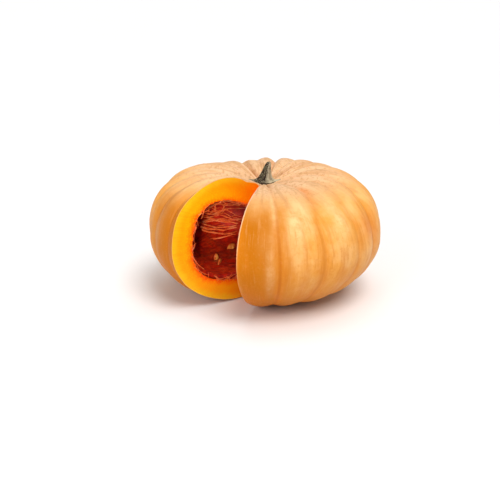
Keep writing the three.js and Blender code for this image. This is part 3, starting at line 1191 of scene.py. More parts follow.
@dataclass
class Fruit:
    """Rind and flesh in one closed mesh: the skin, the two cut faces and the wall of the cavity."""

    skin_columns: int = 320
    cavity_columns: int = 160
    rows: int = 160
    face_columns: int = 24
    dent_size: float = 26 * MM
    dent_depth: float = 0.7 * MM
    ripple_size: float = 7 * MM
    ripple_depth: float = 0.16 * MM
    tear_size: float = 5 * MM
    tear_depth: float = 1.6 * MM
    seam: float = 2e-6
    # How the painted groove shade fades from beside the notch to the rest of the fruit.
    front_groove_shade: tuple[float, float] = (30.0, 74.0)
    back_groove_shade: float = 0.45
    even_top: tuple[float, float] = (10, 35)
    even_bottom: tuple[float, float] = (130, 150)
    # How much painted recess shade the cavity wall takes.
    wall_recess_shade: float = 0.3
    crease: float = 40.0
    bloom_seed: int = 5
    bloom_first_lobe: int = 4
    bloom_across: tuple[float, float] = (0.35, 0.65)
    bloom_spread: tuple[float, float] = (0.16, 0.26)
    bloom_tilt: tuple[float, float] = (56, 76)
    bloom_height: tuple[float, float] = (9, 16)
    bloom_share: tuple[float, float] = (0.15, 0.4)
    finishes: list[bpy.types.Material] = field(default_factory=list)

    def skin_distance(self, fan: RayFan) -> np.ndarray:
        """Distances along rays to the skin, with its dents and ripples.

        Args:
            fan: The rays.

        Returns:
            One distance for each ray.
        """
        distance = fan.cast(SKIN.reach)
        places = fan.places(distance)
        _, tilt, _ = directions(places)
        side = smoothstep(tilt, *self.even_top) * (1.0 - smoothstep(tilt, *self.even_bottom))
        dents = self.dent_depth * grain(places, self.dent_size)
        tall_size = (self.ripple_size, self.ripple_size, 3 * self.ripple_size)
        ripples = self.ripple_depth * grain(places, tall_size, 5.0)
        return distance + side * (dents + ripples)

    def cavity_distance(self, fan: RayFan) -> np.ndarray:
        """Distances along rays to the wall of the cavity, a little torn."""
        distance = fan.cast(CAVITY.reach)
        return distance + self.tear_depth * grain(fan.places(distance), self.tear_size, 9.0)

    def surface(self, zone: Zone, columns: int, azimuth: tuple[float, float]) -> bpy.types.Object:
        """Wraps a sheet over the skin or over the cavity's wall.

        Args:
            zone: Zone.RIND or Zone.CAVITY.
            columns: Faces round the fruit.
            azimuth: Azimuths about the notch's edge at the sheet's two sides.

        Returns:
            The wrapped sheet, marked for its material.
        """
        sheet, along, up = add_sheet(f"{zone.name.lower()}_sheet", columns, self.rows)
        turn = azimuth[0] + (azimuth[1] - azimuth[0]) * along
        fan = RayFan(turn, 180.0 * up - 90.0)
        skin = self.skin_distance(fan) if zone is Zone.RIND else self.cavity_distance(fan)
        places = fan.places(skin)
        wrap(sheet, places)
        self.mark_all(sheet, places, np.zeros_like(skin), np.zeros_like(skin))
        self.dress(sheet, zone)
        return sheet

    def cut_face(self, azimuth: float, outwards: bool) -> bpy.types.Object:
        """Wraps a sheet over one cut face, from the skin to the cavity.

        Args:
            azimuth: The face's azimuth about the notch's edge.
            outwards: True where the sheet runs from the skin inwards, so that it faces the notch.

        Returns:
            The wrapped sheet, marked for its material.
        """
        sheet, along, up = add_sheet("cut_face_sheet", self.face_columns, self.rows)
        inward = along if outwards else 1.0 - along
        fan = RayFan(np.full_like(up, azimuth), 180.0 * up - 90.0)
        skin = self.skin_distance(fan)
        wall = self.cavity_distance(fan)
        distance = skin + (wall - skin) * inward
        places = fan.places(distance)
        wrap(sheet, places)
        self.mark_all(sheet, places, skin - distance, distance - wall)
        self.dress(sheet, Zone.FLESH)
        return sheet

    def dress(self, sheet: bpy.types.Object, zone: Zone) -> None:
        """Gives a sheet the fruit's finishes, and its faces the one of their zone.

        Args:
            sheet: The sheet.
            zone: Its zone.
        """
        for finish in self.finishes:
            sheet.data.materials.append(finish)
        sheet.data.polygons.foreach_set("material_index", np.full(len(sheet.data.polygons), zone.value))

    def mark_all(
        self, sheet: bpy.types.Object, places: np.ndarray, depth: np.ndarray, to_cavity: np.ndarray
    ) -> None:
        """Stores what the rind and the flesh read.

        Args:
            sheet: The sheet to mark.
            places: Its vertices.
            depth: Distances under the skin.
            to_cavity: Distances to the cavity.
        """
        azimuth, tilt, distance = directions(places)
        radius = SKIN.form.radius
        on_skin = np.stack([np.radians(azimuth) * radius, np.radians(tilt) * radius, distance], axis=-1)
        from_edge = places - NOTCH.edge
        turn = np.degrees(np.arctan2(from_edge[:, 0], -from_edge[:, 1])) % 360.0
        turned = np.minimum(turn - NOTCH.first_face, NOTCH.last_face - turn)
        level = np.hypot(from_edge[:, 0], from_edge[:, 1])
        marks = {
            "skin_place": on_skin,
            "groove": (1.0 - SKIN.arch(SKIN.line_at(azimuth, tilt))) * SKIN.fade(tilt),
            # Painted groove shade is fullest beside the notch and weaker elsewhere.
            "groove_shade_share": 1.0 - (1.0 - self.back_groove_shade) * smoothstep(azimuth, *self.front_groove_shade),
            "bloom_and_highlight": self.bloom_and_highlight(azimuth, tilt),
            "flush": np.clip(sum(place.share_at(azimuth, tilt) for place in FRONT_FLUSH), 0.0, 1.0),
            "rise": np.cos(np.radians(tilt)),
            "from_cut": level * np.sin(np.radians(np.clip(turned, 0.0, 90.0))),
            "from_lip": level * np.sin(np.radians(np.clip(turn - NOTCH.first_face, 0.0, 90.0))),
            "depth": depth,
            "to_cavity": to_cavity,
            "to_axis": np.hypot(places[:, 0], places[:, 1]),
            "recess_shade": np.full(len(places), self.wall_recess_shade),
        }
        for name, values in marks.items():
            mark(sheet, name, values)

    def bloom_and_highlight(self, azimuth: np.ndarray, tilt: np.ndarray) -> np.ndarray:
        """How pale the skin is painted: highlights painted in set places on the front, and paler wax at
        random on the other lobes.

        Args:
            azimuth: Azimuths in degrees.
            tilt: Tilts in degrees.

        Returns:
            One share from 0 to 1 for each place.
        """
        draw = random.Random(self.bloom_seed)
        places = list(FRONT_HIGHLIGHTS)
        middle = SKIN.first_groove
        for number, lobe in enumerate(SKIN.lobes):
            if number >= self.bloom_first_lobe:
                at = middle + lobe.width * draw.uniform(*self.bloom_across)
                spread = lobe.width * draw.uniform(*self.bloom_spread)
                tilted, high = draw.uniform(*self.bloom_tilt), draw.uniform(*self.bloom_height)
                places.append(SkinSpot(at, tilted, spread, high, draw.uniform(*self.bloom_share)))
            middle += lobe.width
        return np.clip(sum(place.share_at(azimuth, tilt) for place in places), 0.0, 1.0)

    def build(self) -> bpy.types.Object:
        """Builds, joins and dresses the fruit.

        Returns:
            The finished piece.
        """
        wall = WetPulp("cavity_wall", hollow="#D8400C", body="#EE5E12", fibre="#FA8426")
        self.finishes = [WaxyRind().material(), CutFlesh().material(), wall.material()]
        first, last = NOTCH.first_face, NOTCH.last_face
        sheets = [
            self.surface(Zone.RIND, self.skin_columns, (first, last)),
            self.surface(Zone.CAVITY, self.cavity_columns, (last, first)),
            self.cut_face(first, outwards=False),
            self.cut_face(last, outwards=True),
        ]
        fruit = join(sheets, "squash_fruit", self.seam)
        self.flatten_foot(fruit)
        smooth(fruit, self.crease)
        carried(fruit, "rind", "squash_body")
        return fruit

    def flatten_foot(self, fruit: bpy.types.Object) -> None:
        """Presses what lies under the ground up to it, as the fruit's weight does."""
        for vertex in fruit.data.vertices:
            vertex.co.z = max(0.0, vertex.co.z)


@dataclass(frozen=True)
class FootPoint:
    """One point of the stem's star-shaped foot: its azimuth and how far it reaches."""

    azimuth: float
    length: float


@dataclass
class Stem:
    """The dry stalk: a thin foot with ragged points, each running up the column as a ridge."""

    outline: tuple[tuple[float, float], ...] = (
        (0.0, -0.8), (16.5, -0.8), (17.6, 0.2), (20.0, 0.7), (19.4, 1.4), (15.6, 2.2), (11.8, 4.2),
        (9.0, 7.0), (7.3, 11.0), (6.0, 16.0), (4.9, 21.0), (3.6, 25.6), (2.0, 28.0), (0.0, 27.6),
    )  # fmt: skip
    points: tuple[FootPoint, ...] = (
        FootPoint(10, 13.5 * MM),
        FootPoint(66, 13 * MM),
        FootPoint(124, 21.5 * MM),
        FootPoint(184, 15 * MM),
        FootPoint(246, 15 * MM),
        FootPoint(307, 21 * MM),
    )
    outline_radius: float = 20 * MM
    foot_radius: float = 10.5 * MM
    point_spread: float = 15.0
    column_ridge: float = 0.26
    tip_height: float = 28 * MM
    lean: float = 5 * MM
    lean_azimuth: float = 124.6
    # Where the painted lit side of the stalk faces.
    lit_side_azimuth: float = 112.0
    rag_depth: float = 0.12
    rag_size: float = 0.09
    furrow_depth: float = 0.10
    furrow_size: tuple[float, float, float] = (0.16, 0.16, 1.1)
    furrow_climb: float = 14 * MM
    scab_depth: float = 0.4 * MM
    scab_size: float = 2.2 * MM
    mark_radius: float = 8 * MM
    lean_growth: float = 1.6
    ridge_shares: tuple[float, float, float] = (0.15, 0.75, 0.5)
    lit_side_edge: tuple[float, float] = (-0.1, 0.8)
    crease: float = 50.0
    seam: float = 1e-6
    columns: int = 216
    rows: int = 110

    def ridge_at(self, azimuth: np.ndarray) -> tuple[np.ndarray, np.ndarray]:
        """Finds the ridges.

        Args:
            azimuth: Azimuths in degrees.

        Returns:
            How near a ridge is, from 0 to 1, and the foot's radius.
        """
        ridge = np.zeros_like(azimuth)
        foot = np.full_like(azimuth, self.foot_radius)
        for point in self.points:
            turned = turn_from(azimuth, point.azimuth)
            share = np.exp(-((turned / self.point_spread) ** 2))
            ridge += share
            foot += share * (point.length - self.foot_radius)
        return ridge, foot

    def build(self) -> bpy.types.Object:
        """Builds and dresses the stem.

        Returns:
            The finished piece.
        """
        sheet, along, up = add_sheet("stem_sheet", self.columns, self.rows)
        points = np.array(self.outline) * MM
        steps = np.concatenate([[0.0], np.cumsum(np.linalg.norm(np.diff(points, axis=0), axis=1))])
        radius = np.interp(up * steps[-1], steps, points[:, 0])
        height = np.interp(up * steps[-1], steps, points[:, 1])
        azimuth = 360.0 * along
        ridge, foot = self.ridge_at(azimuth)
        angle = np.radians(azimuth)
        around = np.stack([np.sin(angle), np.cos(angle), height / self.furrow_climb], -1)
        furrows = grain(around, self.furrow_size)
        rags = grain(around * (1.0, 1.0, 0.0), self.rag_size, 2.0)
        foot_share = np.clip(radius / self.outline_radius, 0.0, 1.0) ** 2
        column = 1.0 - self.column_ridge + self.column_ridge * ridge
        share = column + (foot / self.outline_radius - column) * foot_share
        outside = smoothstep(radius, 0.0, 2 * MM)
        rough = self.furrow_depth * furrows + self.rag_depth * foot_share * rags
        across = radius * share * (1.0 + outside * rough)
        climbed = np.clip(height, 0.0, self.tip_height) / self.tip_height
        lean = heading(self.lean_azimuth) * (self.lean * climbed**self.lean_growth)[:, None]
        places = heading(azimuth) * across[:, None] + lean
        scabs = self.scab_depth * grain(places, self.scab_size, 3.0)
        scabs *= outside * smoothstep(height, 0.5 * MM, 3 * MM)
        places[:, 2] = SKIN.top_height(across) + height + scabs
        wrap(sheet, places)
        everywhere, by_ridge, by_furrow = self.ridge_shares
        mark(sheet, "ridge", np.clip(everywhere + by_ridge * ridge + by_furrow * furrows, 0.0, 1.0))
        mark(sheet, "height", height)
        # Painted light: the side of the stalk that faces the light is marked for paler colour.
        facing = np.cos(angle - math.radians(self.lit_side_azimuth))
        mark(sheet, "lit_side", smoothstep(facing, *self.lit_side_edge))
        mark(sheet, "stem_place", np.stack([angle * self.mark_radius, up * steps[-1], height], -1))
        stem = join([sheet], "squash_stem", self.seam)
        dress(stem, CorkyStem(), self.crease)
        carried(stem, "stem", "stem")
        return stem


@dataclass(frozen=True)
class StrandKind:
    """A kind of strand in the pulp: how many, how thick, how long in degrees, how far off the wall."""

    count: int
    radius: tuple[float, float]
    span: tuple[float, float]
    inset: tuple[float, float]
    sag: tuple[float, float]


@dataclass(frozen=True)
class LongStrand:
    """A strand in plain view: its radius, and its azimuths with its levels in millimetres."""

    radius: float
    knots: tuple[tuple[float, float], ...]


LONG_STRANDS = tuple(
    LongStrand(radius * MM, knots)
    for radius, knots in (
        (0.7, ((267, 7), (256.5, 0), (248, -4), (242.5, -8.5), (237, -13.5), (230, -19), (213, -25))),
        (1.35, (
            (268, 4), (261, -2), (255.5, -7), (250.5, -12),
            (244.5, -15), (239, -16.5), (233, -21), (215, -31),
        )),
        (0.9, (
            (268, -7), (261, -14), (254, -19.5), (248, -21.5),
            (242, -22), (237, -22), (230, -19), (212, -13),
        )),
        (1.25, (
            (266, -15), (260, -20), (253, -22.5), (247.5, -25.5),
            (241, -24.5), (234, -24.5), (214, -24.5),
        )),
        (1.15, (
            (266, -19), (260, -24), (252.5, -28), (247, -30.5),
            (242, -30.5), (236, -29.5), (216, -25.5),
        )),
        (1.0, ((267, -32), (259.5, -33), (252.5, -33.5), (246, -33), (240.5, -32), (234, -34), (216, -39))),
        (0.6, ((254, 3), (249.5, -0.5), (246, 2), (244, 8.5), (239, 7), (235, 8), (230.5, 10), (212, 12.5))),
        (0.55, (
            (259, 12.5), (254.5, 7.5), (249.5, 1.5), (244, 3),
            (239, -2.5), (235, -8), (230, -12), (214, -16),
        )),
        (0.7, ((261, 7), (257.5, 10), (253.5, 11), (251, 6.5), (253.5, 3.5), (256.5, 1), (253, -2.5))),
        (0.5, ((257.5, 4.5), (253.5, 0.5), (249.5, -2), (244.5, -2), (240, -8), (234.5, -12), (218, -21))),
    )
)  # fmt: skip


@dataclass
class Pulp:
    """The wet lining of the cavity, its strands, and the seeds that hang in it."""

    thickness: float = 5.5 * MM
    lump: float = 2.2 * MM
    lumps_round: int = 9
    lumps_down: int = 5
    gap: float = 0.3 * MM
    wall_roughness: float = 1.6 * MM
    setback: float = 1.6 * MM
    rim_rag: float = 0.8
    rim_rag_size: float = 0.03
    rim_width: float = 0.016
    columns: int = 280
    rows: int = 150
    fold_depth: float = 2.6 * MM
    fold_size: tuple[float, float, float] = (26 * MM, 26 * MM, 10 * MM)
    fibre_depth: float = 1.1 * MM
    fibre_size: tuple[float, float, float] = (11 * MM, 11 * MM, 2.6 * MM)
    bed_depth: float = 5 * MM
    bed_tilt: tuple[float, float] = (98, 135)
    kinds: tuple[StrandKind, ...] = (
        StrandKind(18, (0.9 * MM, 1.6 * MM), (34, 80), (5 * MM, 14 * MM), (2 * MM, 8 * MM)),
        StrandKind(100, (0.35 * MM, 0.7 * MM), (18, 60), (3 * MM, 10 * MM), (1 * MM, 6 * MM)),
    )
    strand_azimuths: tuple[float, float] = (62, 312)
    strand_levels: tuple[float, float] = (-36 * MM, 42 * MM)
    strand_steps: int = 22
    level_step: float = 0.618
    level_drift: float = 7 * MM
    wave: tuple[float, float] = (0.4 * MM, 1.3 * MM)
    root_inset: float = 2.5 * MM
    wave_phase: float = 6.3
    wave_turns: tuple[float, float] = (8.0, 11.0)
    wave_inwards: float = 0.6
    arching: float = 0.6
    long_arching: float = 0.2
    root_width: float = 1.5
    thinning: float = 0.7
    long_thinning: float = 0.9
    uneven: tuple[float, float] = (0.85, 1.15)
    long_inset: float = 9.5 * MM
    long_steps: int = 8
    loops: tuple[tuple[float, float, float], ...] = (
        (249.5, 7 * MM, 7.2 * MM), (262, 12 * MM, 8 * MM), (233, 12 * MM, 5 * MM),
        (205, 10 * MM, 8 * MM), (120, 4 * MM, 8 * MM), (90, -12 * MM, 7 * MM),
    )  # fmt: skip
    loop_inset: float = 11 * MM
    loop_height: float = 0.9
    loop_twist: float = 0.2
    loop_radius: tuple[float, float] = (0.5 * MM, 0.75 * MM)
    loop_steps: int = 28
    fringe_count: int = 90
    fringe_turn: tuple[float, float] = (0.1, 1.2)
    fringe_lift: tuple[float, float] = (-80, 80)
    fringe_length: tuple[float, float] = (2.5 * MM, 9 * MM)
    fringe_bend: float = 7.0
    fringe_radius: tuple[float, float] = (0.35 * MM, 0.75 * MM)
    fringe_root: float = 1.8 * MM
    fringe_inwards: float = 2.0
    fringe_width: tuple[float, float] = (1.3, 0.5)
    fringe_steps: int = 6
    seed_count: int = 38
    seed_half: tuple[float, float, float] = (8.5 * MM, 5 * MM, 1.5 * MM)
    seed_azimuths: tuple[float, float] = (55, 310)
    seed_tilts: tuple[float, float] = (113, 155)
    seed_sink: tuple[float, float] = (-0.5 * MM, 3.5 * MM)
    seed_point: float = 0.28
    seed_rim: float = 0.5
    seed_rim_edge: tuple[float, float] = (0.68, 0.86)
    seed_spacing: tuple[float, float] = (0.2, 0.8)
    seed_tip: float = 0.6
    seed_turn: float = 6.28
    seed_scale: tuple[float, float] = (0.88, 1.08)
    random_seed: int = 71
    crease: float = 60.0
    strand_crease: float = 80.0
    seam: float = 2e-6

    def inner_reach(self, azimuth: np.ndarray, tilt: np.ndarray) -> np.ndarray:
        """Finds the lumpy inside of the lining.

        Args:
            azimuth: Azimuths in degrees.
            tilt: Tilts in degrees.

        Returns:
            One distance from the fruit's centre for each direction.
        """
        round_share = np.sin(np.radians(self.lumps_round * azimuth)) * np.sin(np.radians(tilt))
        lumps = round_share * np.cos(np.radians(self.lumps_down * tilt))
        bed = self.bed_depth * smoothstep(tilt, *self.bed_tilt)
        return CAVITY.reach(azimuth, tilt) - self.thickness - self.lump * lumps - bed

    def outer_reach(self, azimuth: np.ndarray, tilt: np.ndarray) -> np.ndarray:
        """Distances from the fruit's centre to the outside of the lining, clear of the torn wall."""
        return CAVITY.reach(azimuth, tilt) - self.gap - self.wall_roughness

    def turn_at(self, along: np.ndarray, up: np.ndarray) -> np.ndarray:
        """Azimuths about the notch's edge at places on the lining, whose rims are ragged.

        Args:
            along: Places along the lining, from 0 by the first cut face to 1 by the last.
            up: Places up the lining, from 0 to 1.

        Returns:
            One azimuth for each place.
        """
        turn_back = math.degrees(self.setback / (0.6 * CAVITY.form.radius))
        by_rim = np.stack([up, np.rint(along), np.zeros_like(up)], axis=-1)
        rag = 1.0 + self.rim_rag * grain(by_rim, (self.rim_rag_size, 1.0, 1.0))
        first, last = NOTCH.first_face + turn_back * rag, NOTCH.last_face - turn_back * rag
        return first + (last - first) * along

    def lining(self) -> bpy.types.Object:
        """Wraps two sheets over the outside and the inside of the lining, which meet at its rim.

        Returns:
            The lining, a closed shell that is open at the notch.
        """
        outer_sheet, along, up = add_sheet("pulp_back_sheet", self.columns, self.rows)
        fan = RayFan(self.turn_at(along, up), 180.0 * up - 90.0)
        wrap(outer_sheet, fan.places(fan.cast(self.outer_reach)))
        # Painted shade: the back of the lining is marked as fully recessed, for the darkest colour.
        mark(outer_sheet, "recess_shade", np.ones_like(along))
        inner_sheet, along, up = add_sheet("pulp_face_sheet", self.columns, self.rows)
        fan = RayFan(self.turn_at(1.0 - along, up), 180.0 * up - 90.0)
        outer, inner = fan.cast(self.outer_reach), fan.cast(self.inner_reach)
        places = fan.places(inner)
        folds = grain(places, self.fold_size)
        fibres = 1.0 - 2.0 * np.abs(grain(places, self.fibre_size, 4.0)) ** 0.7
        rim = smoothstep(np.minimum(along, 1.0 - along), 0.0, self.rim_width)
        relief = self.fold_depth * folds - self.fibre_depth * fibres
        wrap(inner_sheet, fan.places(np.minimum(outer + (inner + relief - outer) * rim, outer)))
        # Painted shade: deeper folds are darker, raised fibres lighter.
        mark(inner_sheet, "recess_shade", np.clip(0.5 + 0.5 * folds - 0.5 * fibres, 0.0, 1.0))
        return join([outer_sheet, inner_sheet], "pulp_lining", self.seam)

    def beside_wall(self, azimuth: float, level: float, inset: float) -> Vector:
        """A point in the cavity some way off its wall.

        Args:
            azimuth: Azimuth in degrees.
            level: Height over the fruit's centre.
            inset: Distance from the wall.

        Returns:
            The point.
        """
        tilt = 90.0
        # The wall's reach depends on the tilt, so the two settle in a few rounds.
        for _ in range(20):
            reach = float(CAVITY.reach(np.array(azimuth), np.array(tilt)))
            tilt = math.degrees(math.acos(max(-1.0, min(1.0, level / reach))))
        side = heading(azimuth) * (reach * math.sin(math.radians(tilt)) - inset)
        return Vector((side[0], side[1], SKIN.centre[2] + level))

    def draw_line(
        self, curve: bpy.types.Curve, places: list[Vector], radii: list[float], closed: bool = False
    ) -> None:
        """Adds one strand to a curve.

        Args:
            curve: The curve to add to.
            places: Points along the strand.
            radii: The strand's radius at each of them.
            closed: True for a loop.
        """
        line = curve.splines.new("POLY")
        line.points.add(len(places) - 1)
        line.use_cyclic_u = closed
        for point, place, radius in zip(line.points, places, radii):
            point.co = (*place, 1.0)
            point.radius = radius / MM

    def stretch_strands(self, curve: bpy.types.Curve, draw: random.Random) -> None:
        """Stretches strands about level along the lining, at random.

        Args:
            curve: The curve to add to.
            draw: What gives the random numbers.
        """
        low, high = self.strand_levels
        for kind in self.kinds:
            for i in range(kind.count):
                span = draw.uniform(*kind.span)
                start = draw.uniform(self.strand_azimuths[0], self.strand_azimuths[1] - span)
                level = low + (high - low) * ((i * self.level_step) % 1.0)
                end_level = max(low, min(high, level + draw.gauss(0.0, self.level_drift)))
                inset, sag = draw.uniform(*kind.inset), draw.uniform(*kind.sag)
                radius = draw.uniform(*kind.radius)
                wave, phase = draw.uniform(*self.wave), draw.uniform(0.0, self.wave_phase)
                places, radii = [], []
                for step in range(self.strand_steps + 1):
                    share = step / self.strand_steps
                    hang = math.sin(math.pi * share)
                    height = level + (end_level - level) * share - sag * hang
                    height += wave * math.sin(phase + self.wave_turns[0] * share)
                    off_wall = self.root_inset + (inset - self.root_inset) * hang**self.arching
                    off_wall += self.wave_inwards * wave * math.cos(phase + self.wave_turns[1] * share)
                    places.append(self.beside_wall(start + span * share, height, off_wall))
                    width = self.root_width - self.thinning * hang**0.5
                    radii.append(radius * width * draw.uniform(*self.uneven))
                self.draw_line(curve, places, radii)

    def lay_long_strands(self, curve: bpy.types.Curve, draw: random.Random) -> None:
        """Lays the strands in plain view through their knots.

        Args:
            curve: The curve to add to.
            draw: What gives the random numbers.
        """
        for strand in LONG_STRANDS:
            azimuths, levels = zip(*strand.knots)
            places, radii = [], []
            last = len(strand.knots) - 1
            for step in range(self.long_steps * last + 1):
                share = step / (self.long_steps * last)
                azimuth = float(np.interp(share * last, range(last + 1), azimuths))
                level = float(np.interp(share * last, range(last + 1), levels)) * MM
                hang = math.sin(math.pi * share)
                off_wall = self.root_inset + (self.long_inset - self.root_inset) * hang**self.long_arching
                places.append(self.beside_wall(azimuth, level, off_wall))
                width = self.root_width - self.long_thinning * share
                radii.append(strand.radius * width * draw.uniform(*self.uneven))
            self.draw_line(curve, places, radii)

    def curl_loops(self, curve: bpy.types.Curve, draw: random.Random) -> None:
        """Curls a few strands into loops beside the wall.

        Args:
            curve: The curve to add to.
            draw: What gives the random numbers.
        """
        up = Vector((0.0, 0.0, 1.0))
        for azimuth, level, size in self.loops:
            middle = self.beside_wall(azimuth, level, self.loop_inset)
            out = Vector((middle.x, middle.y, 0.0)).normalized()
            side = out.cross(up)
            places = [
                middle
                + side * size * math.cos(angle)
                + up * self.loop_height * size * math.sin(angle)
                + out * self.loop_twist * size * math.sin(2.0 * angle + azimuth)
                for angle in np.linspace(0.0, 2.0 * math.pi, self.loop_steps, endpoint=False)
            ]
            self.draw_line(curve, places, [draw.uniform(*self.loop_radius) for _ in places], True)

    def fringe(self, curve: bpy.types.Curve, draw: random.Random) -> None:
        """Lets short torn fibres stand out along the cavity's edge at both cut faces.

        Args:
            curve: The curve to add to.
            draw: What gives the random numbers.
        """
        steps = np.linspace(0.0, 1.0, self.fringe_steps)
        widths = np.linspace(*self.fringe_width, self.fringe_steps)
        for face, inwards in ((NOTCH.first_face, 1.0), (NOTCH.last_face, -1.0)):
            for _ in range(self.fringe_count):
                turn = face + inwards * draw.uniform(*self.fringe_turn)
                lift = draw.uniform(*self.fringe_lift)
                length, bend = draw.uniform(*self.fringe_length), draw.gauss(0.0, self.fringe_bend)
                radius = draw.uniform(*self.fringe_radius)
                fan = RayFan(turn + self.fringe_inwards * inwards * steps**2, lift + bend * steps**1.5)
                reach = fan.cast(CAVITY.reach) + (1.0 - steps) * self.fringe_root - length * steps
                places = [Vector(place) for place in fan.places(reach)]
                self.draw_line(curve, places, list(radius * widths))

    def strands(self) -> bpy.types.Object:
        """Draws all the fibres as one curve and makes it a mesh.

        Returns:
            The strands as one mesh.
        """
        draw = random.Random(self.random_seed)
        curve = bpy.data.curves.new("pulp_strands", "CURVE")
        curve.dimensions = "3D"
        curve.bevel_depth = 1.0 * MM
        curve.bevel_resolution = 2
        curve.use_fill_caps = True
        self.stretch_strands(curve, draw)
        self.lay_long_strands(curve, draw)
        self.curl_loops(curve, draw)
        self.fringe(curve, draw)
        strands = bpy.data.objects.new("pulp_strands", curve)
        bpy.context.collection.objects.link(strands)
        select_only(strands)
        bpy.ops.object.convert(target="MESH")
        strands = bpy.context.object
        mark(strands, "recess_shade", np.zeros(len(strands.data.vertices)))
        return strands

    def one_seed(self) -> bpy.types.Object:
        """Shapes one seed from a sphere: a flat drop with a raised rim.

        Returns:
            The seed, lying flat at the origin with its point along +X.
        """
        deselect()
        bpy.ops.mesh.primitive_uv_sphere_add(segments=24, ring_count=12, radius=1.0)
        seed = bpy.context.object
        shaped = vertices_of(seed)
        out = np.clip(np.hypot(shaped[:, 0], shaped[:, 1]), 0.0, 1.0)
        shaped[:, 1] *= 1.0 - self.seed_point * np.maximum(0.0, shaped[:, 0]) ** 1.5
        shaped[:, 2] *= 1.0 + self.seed_rim * smoothstep(out, *self.seed_rim_edge)
        wrap(seed, shaped * self.seed_half)
        mark(seed, "rim", out)
        return seed

    def seeds(self) -> bpy.types.Object:
        """Copies the seed to its places on the lower lining.

        Returns:
            All seeds in one mesh.
        """
        draw = random.Random(self.random_seed + 1)
        pattern = self.one_seed()
        copies = []
        first, last = self.seed_azimuths
        for i in range(self.seed_count):
            azimuth = first + (last - first) * (i + draw.uniform(*self.seed_spacing)) / self.seed_count
            tilt = draw.uniform(*self.seed_tilts)
            reach = float(self.inner_reach(np.array(azimuth), np.array(tilt))) - draw.uniform(*self.seed_sink)
            side = heading(azimuth) * reach * math.sin(math.radians(tilt))
            place = Vector((side[0], side[1], SKIN.centre[2] + reach * math.cos(math.radians(tilt))))
            normal = (place - Vector(SKIN.centre)).normalized()
            lie = normal.to_track_quat("Z", "X").to_matrix().to_4x4()
            tips = draw.uniform(-self.seed_tip, self.seed_tip), draw.uniform(-self.seed_tip, self.seed_tip)
            turn = Euler((*tips, draw.uniform(0.0, self.seed_turn))).to_matrix().to_4x4()
            size = Matrix.Scale(draw.uniform(*self.seed_scale), 4)
            seed = pattern.copy()
            seed.data = pattern.data.copy()
            bpy.context.collection.objects.link(seed)
            seed.data.transform(Matrix.Translation(place) @ lie @ turn @ size)
            copies.append(seed)
        bpy.data.objects.remove(pattern)
        return join(copies, "squash_seeds")

    def build(self) -> None:
        """Builds and dresses the lining, the strands and the seeds."""
        lining = self.lining()
        dress(lining, WetPulp(), self.crease)
        carried(lining, "pulp", "pulp")
        strands = self.strands()
        thread = WetPulp("pulp_thread", hollow="#C0380E", body="#E2602A", fibre="#FFB47A")
        dress(strands, thread, self.strand_crease)
        carried(strands, "pulp")
        seeds = self.seeds()
        dress(seeds, SeedCoat(), self.crease)
        carried(seeds, "pulp")


class LampKind(Enum):
    """The kinds of light, in Blender's words."""

    FAR = "SUN"
    PANEL = "AREA"
    SNOOT = "SPOT"


@dataclass(frozen=True)
class Lamp:
    """One light: its kind, where it hangs, its settings, and what it shines at.

    Its azimuth is from the camera's, to the right. With no aim it shines at the fruit's centre.
    """

    name: str
    kind: LampKind
    azimuth: float
    elevation: float
    distance: float
    settings: dict[str, float]
    aim: tuple[float, float, float] | None = None


NARROW = {"spot_blend": 1.0, "shadow_soft_size": 0.03}
LAMPS = (
    Lamp("key_softbox", LampKind.FAR, 28, 56, 3.0, {"energy": 1.9, "angle": math.radians(34)}),
    Lamp("overhead_softbox", LampKind.FAR, 140, 74, 3.0, {"energy": 1.0, "angle": math.radians(60)}),
    Lamp("side_softbox", LampKind.PANEL, -32, 24, 2.0, {"energy": 11.0, "size": 0.8}),
    Lamp(
        "upper_snoot", LampKind.SNOOT, -4, 13, 1.3,
        {"energy": 116.0, "spot_size": math.radians(2.9), **NARROW},
        (-0.106, 0.044, 0.080),
    ),
    Lamp(
        "lower_snoot", LampKind.SNOOT, -4, 13, 1.3,
        {"energy": 84.0, "spot_size": math.radians(3.2), **NARROW},
        (-0.100, 0.034, 0.036),
    ),
)  # fmt: skip


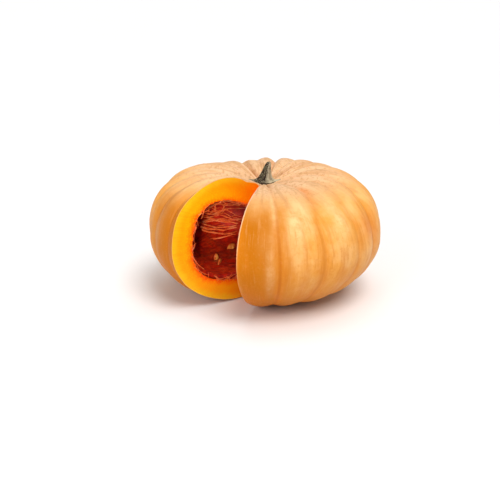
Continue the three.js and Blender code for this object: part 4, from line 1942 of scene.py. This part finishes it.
@dataclass
class Studio:
    """A white floor, soft light from above and in front, and the camera."""

    azimuth: float = 34.6
    elevation: float = 18.0
    distance: float = 1.125
    focal_pixels: float = 850.06
    aim_right: float = -19.3 * MM
    aim_up: float = -26.25 * MM
    sensor: float = 36.0
    floor_side: float = 60.0
    floor: str = "#F3F1F0"
    sky_strength: float = 0.34
    clip: tuple[float, float] = (0.01, 50.0)

    def towards(self, azimuth: float, elevation: float) -> Vector:
        """The direction at an azimuth from the camera's, to the right, and at an elevation."""
        turn, rise = math.radians(self.azimuth + azimuth), math.radians(elevation)
        return Vector((math.sin(turn) * math.cos(rise), -math.cos(turn) * math.cos(rise), math.sin(rise)))

    @property
    def right(self) -> Vector:
        """To the right in the picture."""
        a = math.radians(self.azimuth)
        return Vector((math.cos(a), math.sin(a), 0.0))

    @property
    def aim(self) -> Vector:
        """The point at the middle of the picture."""
        return Vector(SKIN.centre) + self.right * self.aim_right + Vector((0.0, 0.0, self.aim_up))

    def stand(self, name: str, data: bpy.types.ID, place: Vector, aim: Vector) -> bpy.types.Object:
        """Stands a camera or a light at its place, turned to what it aims at.

        Args:
            name: The object's name.
            data: The camera's or the light's data.
            place: Where it stands.
            aim: What it is turned to.

        Returns:
            The new object.
        """
        holder = bpy.data.objects.new(name, data)
        holder.location = place
        holder.rotation_euler = (aim - place).to_track_quat("-Z", "Y").to_euler()
        bpy.context.collection.objects.link(holder)
        return holder

    def camera(self) -> None:
        """Places the camera."""
        data = bpy.data.cameras.new("camera")
        data.sensor_width = self.sensor
        data.lens = self.focal_pixels * self.sensor / IMAGE_SIDE
        data.clip_start, data.clip_end = self.clip
        place = self.aim + self.towards(0.0, self.elevation) * self.distance
        bpy.context.scene.camera = self.stand("camera", data, place, self.aim)

    def ground(self) -> None:
        """Lays the white floor."""
        deselect()
        bpy.ops.mesh.primitive_plane_add(size=self.floor_side)
        floor = bpy.context.object
        floor.name = "studio_floor"
        material, tree = new_material("studio_floor")
        shader = add_node(
            tree,
            "ShaderNodeBsdfPrincipled",
            {"Base Color": hex_colour(self.floor), "Roughness": 0.9, "Specular IOR Level": 0.0},
        )
        add_node(tree, "ShaderNodeOutputMaterial", links={"Surface": shader.outputs["BSDF"]})
        floor.data.materials.append(material)
        floor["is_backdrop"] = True

    def lights(self) -> None:
        """Hangs two broad lights overhead, one at the side, and two that reach into the notch."""
        for lamp in LAMPS:
            data = bpy.data.lights.new(lamp.name, lamp.kind.value)
            for name, value in lamp.settings.items():
                setattr(data, name, value)
            centre = Vector(SKIN.centre)
            place = centre + self.towards(lamp.azimuth, lamp.elevation) * lamp.distance
            self.stand(lamp.name, data, place, Vector(lamp.aim) if lamp.aim else centre)

    def world(self) -> None:
        """Surrounds the scene with even white light."""
        world = bpy.data.worlds.new("studio")
        world.use_nodes = True
        sky = world.node_tree.nodes["Background"].inputs
        sky["Color"].default_value = (1.0, 1.0, 1.0, 1.0)
        sky["Strength"].default_value = self.sky_strength
        bpy.context.scene.world = world

    def build(self) -> None:
        """Builds the studio."""
        self.ground()
        self.world()
        self.lights()
        self.camera()
        view = bpy.context.scene.view_settings
        view.view_transform = "Standard"
        view.look = "None"


def main() -> tuple[Vector, Vector]:
    """Builds everything in order.

    Returns:
        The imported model's lowest and highest corners.
    """
    logging.basicConfig(level=logging.INFO, format="%(message)s")
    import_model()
    model_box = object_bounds()
    Fruit().build()
    Stem().build()
    Pulp().build()
    Studio().build()
    return model_box


if __name__ == "__main__":
    cad_box = main()
